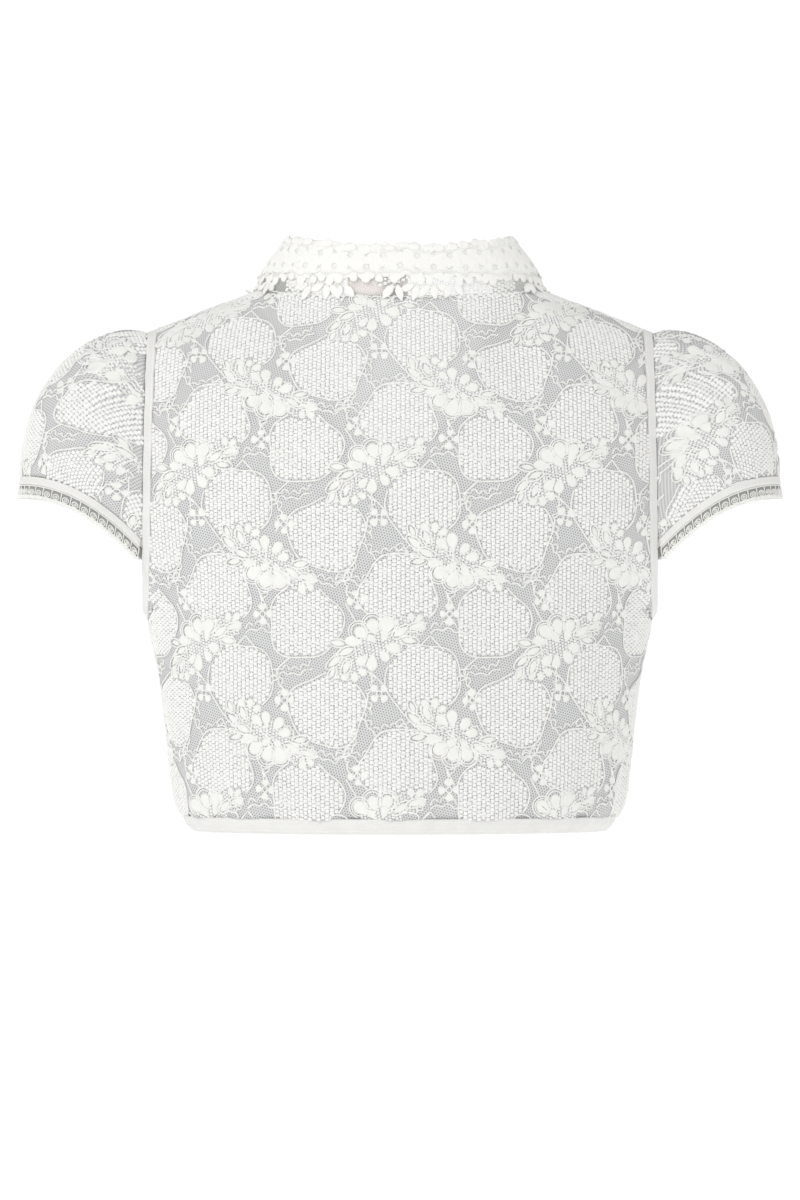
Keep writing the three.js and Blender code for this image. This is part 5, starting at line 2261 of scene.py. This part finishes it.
    def _leaves(self) -> Studs:
        """Leaves in loose bunches below the dense part."""
        studs, bunches = Studs(), list(self.back_leaves)
        for k, x in enumerate(np.arange(0.78 * self.shoulder, self.reach - 14.0, self.leaf_pitch)):
            for side in (-1.0, 1.0):
                sway = self.chance.uniform(-8, 8)
                turns = (204.0, 246.0, 292.0, 334.0) if k % 2 else (222.0, 268.0, 316.0)
                bunches.append((side * x, tuple(t + sway for t in turns)))
        for x, turns in bunches:
            foot = float(self._foot(np.array([x]))[0]) * 0.62
            for k, turn in enumerate(turns):
                root = x + 2.0 * (k - (len(turns) - 1) / 2)
                length = float(self.chance.uniform(10.5, 13.5))
                drop = length * max(0.0, -math.sin(math.radians(turn)))
                y = max(foot, drop - self.tips + 0.8)
                self._lay(studs, np.array([root]), y, np.array([turn]), np.array([[length, 6.2, 0.9]]), -0.9)
        return studs

    def _cords(self) -> Cords:
        """Scalloped cords along the edges."""
        cords, reach = Cords(), self.reach - 5.0
        run = np.arange(-reach, reach, 1.0)
        beat = np.abs(np.sin(run / self.scallop_pitch * math.pi))
        for flat_y, lift in (
            (self._top(run) - 5.0 + 1.2 * beat, 0.5),
            (self._foot(run) + 2.6 + 0.9 * beat, 0.5),
            (self.net_foot + 0.3 + 0.9 * np.abs(np.sin(run * 0.5)), -1.2),
        ):
            spot = self.cloth.place(np.stack([run, flat_y], -1), lift)
            cords.add(spot.points, spot.inside)
        return cords

    def build(self) -> None:
        """Makes the collar's dense part, its net foot, and the raised lace."""
        shop, shapes = self.shop, self.shop.shapes
        foot, top = self._foot(self.across), self._top(self.across)
        hem = np.full_like(foot, self.net_foot)
        ground, _ = self._strip("collar_ground", foot, top, COLLAR_GROUND, -0.3, 1.0)
        net, net_cloth = self._strip("collar_net", hem, foot + 0.8, COLLAR_NET, -1.6, 0.25)
        shop.finish_piece(ground, "guipure", "collar")
        shop.finish_piece(net, "guipure", "collar")
        petals, leaves, cords = self._flowers(), self._leaves(), self._cords()
        behind = LaceWork(net_cloth, LaceDesign(), (-62.4, -109.7), 5)
        behind.work_patches()
        layers = [
            shop.scatter("collar_flowers", petals, shapes.petal, GUIPURE, 0.08, 17),
            shop.scatter("collar_leaves", leaves, shapes.leaf, GUIPURE, 0.08, 19),
            shop.run_cords("collar_cords", cords, GUIPURE, 0.5),
            shop.scatter("collar_honeycomb", behind.cells, shapes.cell, THREAD, 0.05, 23),
        ]
        for layer in layers:
            shop.finish_piece(layer, "guipure", "collar")
        length, (low, high) = self.reach * 2, self.cloth.span(1)


@dataclass
class FrontClosing:
    """The button placket down the centre front, and its five buttons."""

    shop: Workshop
    half_width: float = 9.0
    wall: float = 1.2
    top: float = 1.86
    rest: float = 0.4
    count: int = 5
    radius: float = 5.5
    thickness: float = 2.6
    first: float = -158.0
    last: float = -334.0
    columns: int = 13
    sides: int = 40
    profile: tuple[tuple[float, float], ...] = (
        (0.82, 0.0),
        (0.96, 0.18),
        (1.0, 0.42),
        (0.985, 0.7),
        (0.93, 0.9),
        (0.85, 1.0),
        (0.76, 0.97),
        (0.68, 0.75),
        (0.6, 0.62),
    )

    def _middle(self) -> tuple[Array, Array]:
        """The placket's middle line and the line beside it, from the top down."""
        body = self.shop.body
        t = np.linspace(self.top, 0.0, 90)
        middle = body.panel_point(body.front, np.zeros_like(t), t)
        beside = body.panel_point(body.front, np.full_like(t, 1 / 16), t)
        z = np.linspace(body.hem_bottom + body.casing, body.hem_bottom, 5)
        middle = np.concatenate([middle, body.casing_point(np.zeros_like(z), z)])
        beside = np.concatenate([beside, body.casing_point(np.full_like(z, 0.1), z)])
        return middle, beside

    def _cloth(self) -> Cloth:
        """Grid of the strip, on the fronts."""
        middle, beside = self._middle()
        across = np.linspace(-1, 1, self.columns)
        share = np.abs(across)[None, :, None] * (self.half_width / beside[:, None, :1])
        grid = middle[:, None] + (beside - middle)[:, None] * share
        grid[..., 0] = across[None] * self.half_width
        flat = np.broadcast_arrays(across[None] * self.half_width, -run_length(middle)[:, None])
        return Cloth(grid, *flat, np.broadcast_to(vec(0.0, -1.0, 0.0), grid.shape))

    def _button(self, z: float, line: Array) -> tuple[Array, list]:
        """Points and faces of one four-hole button, seated square to the placket.

        Args:
            z: height of its middle.
            line: the placket's face along the centre front.

        Returns:
            The points, ring by ring, and the faces.
        """
        line = line[::-1]
        foot, middle, head = (sample(line, line[:, 2], z + self.radius * k) for k in (-1, 0, 1))
        fall = foot - head
        normal = unit(np.array([0.0, fall[2], -fall[1]]))
        near = [p for p in line if abs(p[2] - z) < self.radius] + [head]
        rise = max(float(np.dot(p - middle, normal)) for p in near)
        seat = middle + normal * (rise + self.rest + self.wall + SEAM + 0.1)
        angle = np.linspace(0, TURN, self.sides, endpoint=False)[:, None]
        outward = LEFTWARD * np.cos(angle) + np.cross(normal, LEFTWARD) * np.sin(angle)
        rings = []
        for radius, height in self.profile:
            rings.append(seat + outward * (radius * self.radius) + normal * (height * self.thickness))
        ends = range(self.sides)
        faces = grid_faces(len(rings), self.sides, ring=True).tolist()
        faces += [[(len(rings) - 1) * self.sides + k for k in ends], ends[::-1]]
        return np.concatenate(rings), faces

    def _thread(self, top: Array) -> Cords:
        """Crossed thread over a button's middle."""
        centre = top.mean(axis=0)
        normal = unit(np.cross(top[0] - centre, top[self.sides // 4] - centre))
        upward = unit(np.cross(normal, LEFTWARD))
        share = np.linspace(0, 1, 9)[:, None]
        arch = normal * (0.55 * np.sin(share * math.pi) - 0.1)
        thread = Cords()
        for slope in (1, -1):
            reach = LEFTWARD * 1.1 + upward * (1.1 * slope)
            for shift in (-0.22, 0.22):
                thread.add(mix(centre - reach, centre + reach, share) + arch + LEFTWARD * shift)
        return thread

    def build(self) -> None:
        """Makes the placket, the buttons and the thread that holds them."""
        shop, cloth = self.shop, self._cloth()
        grid, normals = cloth.grid, cloth.normals
        soft = self.rest + self.wall - 0.35 * np.abs(np.linspace(-1, 1, self.columns)) ** 6
        white = shop.wardrobe.get(BAND)
        strip = wall_mesh("button_placket_strip", grid, normals, soft, -self.rest, white, cloth.flat)
        shop.finish_piece(strip, "cotton_band", "button_placket")
        studs = Studs()
        for column in (1, self.columns - 2):
            seam = grid[:, column] + normals[:, column] * (self.rest + self.wall - 0.03)
            StitchRow().lay(studs, seam, normals[:, column])
        stitches = shop.sew("button_placket_stitches", studs, "button_placket")
        line = grid[:, self.columns // 2]
        for index, z in enumerate(np.linspace(self.first, self.last, self.count), start=1):
            points, faces = self._button(float(z), line)
            button = mesh_object(f"button_{index}_pearl", points, faces, shop.wardrobe.get(BUTTON))
            shop.finish_piece(button, "button", f"button_{index}")
            thread = self._thread(points[-self.sides :])
            cross = shop.run_cords(f"button_{index}_thread", thread, STITCH, 0.2, 5)
            shop.finish_piece(cross, "button", f"button_{index}")


@dataclass
class NeckLabel:
    """The blank label inside the back of the collar, with a small tab below one end."""

    shop: Workshop
    start: float = 34.0
    tab: float = 8.0
    end: float = -5.0
    top: float = 10.5
    foot: float = -5.8
    tab_foot: float = -10.8
    behind: float = 1.7
    wall: float = 0.7
    tab_sewn: float = 5.4

    def _ribbon(self, name: str, x: tuple[float, float], z: tuple[float, float], back: float) -> Object:
        """A piece of ribbon between two sides and two heights.

        Args:
            name: the object's name.
            x: its two sides.
            z: its two heights.
            back: how far it lies inside the top of the back.

        Returns:
            The new object.
        """
        body, xs, zs = self.shop.body, np.linspace(*x, 25), np.linspace(*z, 9)
        u = np.arcsin(np.abs(xs) / body.neck_x) / (math.pi / 2) * body.neck_share
        y = body.panel_point(body.back, u, np.full_like(u, 2.0))[:, 1] - back
        grid = vec(xs[None], y[None], zs[:, None])
        cloth = Cloth(grid, grid[..., 0], grid[..., 2], level(grid))
        return wall_mesh(name, grid, cloth.normals, 0.0, self.wall, self.shop.wardrobe.get(LABEL), cloth.flat)

    def build(self) -> None:
        """Makes the label and its tab as two folds of ribbon."""
        sewn = self.foot + self.tab_sewn
        sides, tab_sides = (self.start, self.end), (self.tab, self.end + 0.5)
        main = self._ribbon("neck_label_ribbon", sides, (self.top, self.foot), self.behind)
        tab = self._ribbon("neck_label_tab", tab_sides, (sewn, self.tab_foot), self.behind - 0.4)
        for piece in (main, tab):
            self.shop.finish_piece(piece, "label", "neck_label")


# Studio


@dataclass
class Studio:
    """Camera at the photograph's angle, soft lights, and a pale round floor that rises at its rim."""

    frame_height: float = 0.792
    frame_middle: float = -0.203
    distance: float = 4.8
    sensor: float = 36.0
    floor: float = -0.62
    radius: float = 7.0
    rim: float = 0.28

    def camera(self) -> None:
        """Looks at the back of the blouse, level with the middle of the frame."""
        data = bpy.data.cameras.new("camera")
        data.sensor_fit = "VERTICAL"
        data.sensor_height = self.sensor
        data.lens = self.sensor * self.distance / self.frame_height
        camera = linked("camera", data)
        camera.location = (0.0, self.distance, self.frame_middle)
        camera.rotation_euler = (math.pi / 2, 0.0, math.pi)
        bpy.context.scene.camera = camera

    def stage(self) -> None:
        """A floor disc whose rim curves up into a low wall, the same from all sides."""
        curve, sides = self.radius * self.rim, 96
        flat = self.radius * (1 - self.rim)
        profile = [(flat, 0.0)]
        for bend in np.linspace(0, math.pi / 2, 13)[1:]:
            profile.append((flat + curve * math.sin(bend), curve * (1 - math.cos(bend))))
        profile.append((self.radius, self.radius * 0.75))
        angle = np.linspace(0, TURN, sides, endpoint=False)
        points = [np.array([[0.0, 0.0, self.floor]])]
        for radius, rise in profile:
            points.append(vec(radius * np.cos(angle), radius * np.sin(angle), self.floor + rise))
        faces = [[0, 1 + k, 1 + (k + 1) % sides] for k in range(sides)]
        faces += grid_faces(len(profile), sides, ring=True, start=1)[:, [0, 3, 2, 1]].tolist()
        material = bpy.data.materials.new("studio_floor")
        material.use_nodes = True
        shader = material.node_tree.nodes["Principled BSDF"]
        for label, value in (
            ("Base Color", (0.6, 0.6, 0.6, 1.0)),
            ("Roughness", 0.95),
            ("Specular IOR Level", 0.0),
            ("Emission Color", (1.0, 1.0, 1.0, 1.0)),
            ("Emission Strength", 0.6),
        ):
            shader.inputs[label].default_value = value
        mesh_object("studio_floor", np.concatenate(points) / MM, faces, material)

    def light(self, name: str, place: tuple[float, float, float], size: float, power: float) -> None:
        """A soft square lamp that faces the blouse.

        Args:
            name: the lamp's name.
            place: where it hangs.
            size: length of its side.
            power: its power in watts.
        """
        data = bpy.data.lights.new(name, "AREA")
        data.shape = "SQUARE"
        data.size = size
        data.energy = power
        lamp = linked(name, data)
        lamp.location = place
        aim = Vector((0.0, 0.0, -0.16)) - Vector(place)
        lamp.rotation_euler = aim.to_track_quat("-Z", "Y").to_euler()

    def build(self) -> None:
        """Sets the stage, lights and camera."""
        self.camera()
        self.stage()
        self.light("key", (1.5, 2.1, 1.9), 1.0, 27.0)
        self.light("fill", (-2.3, 1.9, 0.3), 2.0, 3.0)
        self.light("front", (0.6, -2.6, 1.2), 2.0, 9.0)
        self.light("top", (0.0, 0.2, 2.6), 1.6, 9.0)
        world = bpy.data.worlds.new("studio")
        world.use_nodes = True
        background = world.node_tree.nodes["Background"]
        background.inputs["Color"].default_value = (1.0, 1.0, 1.0, 1.0)
        background.inputs["Strength"].default_value = 0.3
        bpy.context.scene.world = world
        bpy.context.scene.view_settings.view_transform = "Standard"


def main() -> None:
    """Loads the frame, dresses the blouse and sets the studio."""
    logging.basicConfig(level=logging.INFO, format="%(message)s")
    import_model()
    body = BodyForm()
    shop = Workshop(body, SleeveForm(body), CollarForm(body), Shapes(), Wardrobe())
    Studio().build()
    LacePieces(shop).build()
    Bindings(shop).build()
    Cuffs(shop).build()
    HemCasing(shop).build()
    Collar(shop).build()
    FrontClosing(shop).build()
    NeckLabel(shop).build()
    shop.shapes.discard()
    LOG.info("%d pieces", len(shop.pieces))
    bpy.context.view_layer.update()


if __name__ == "__main__":
    main()
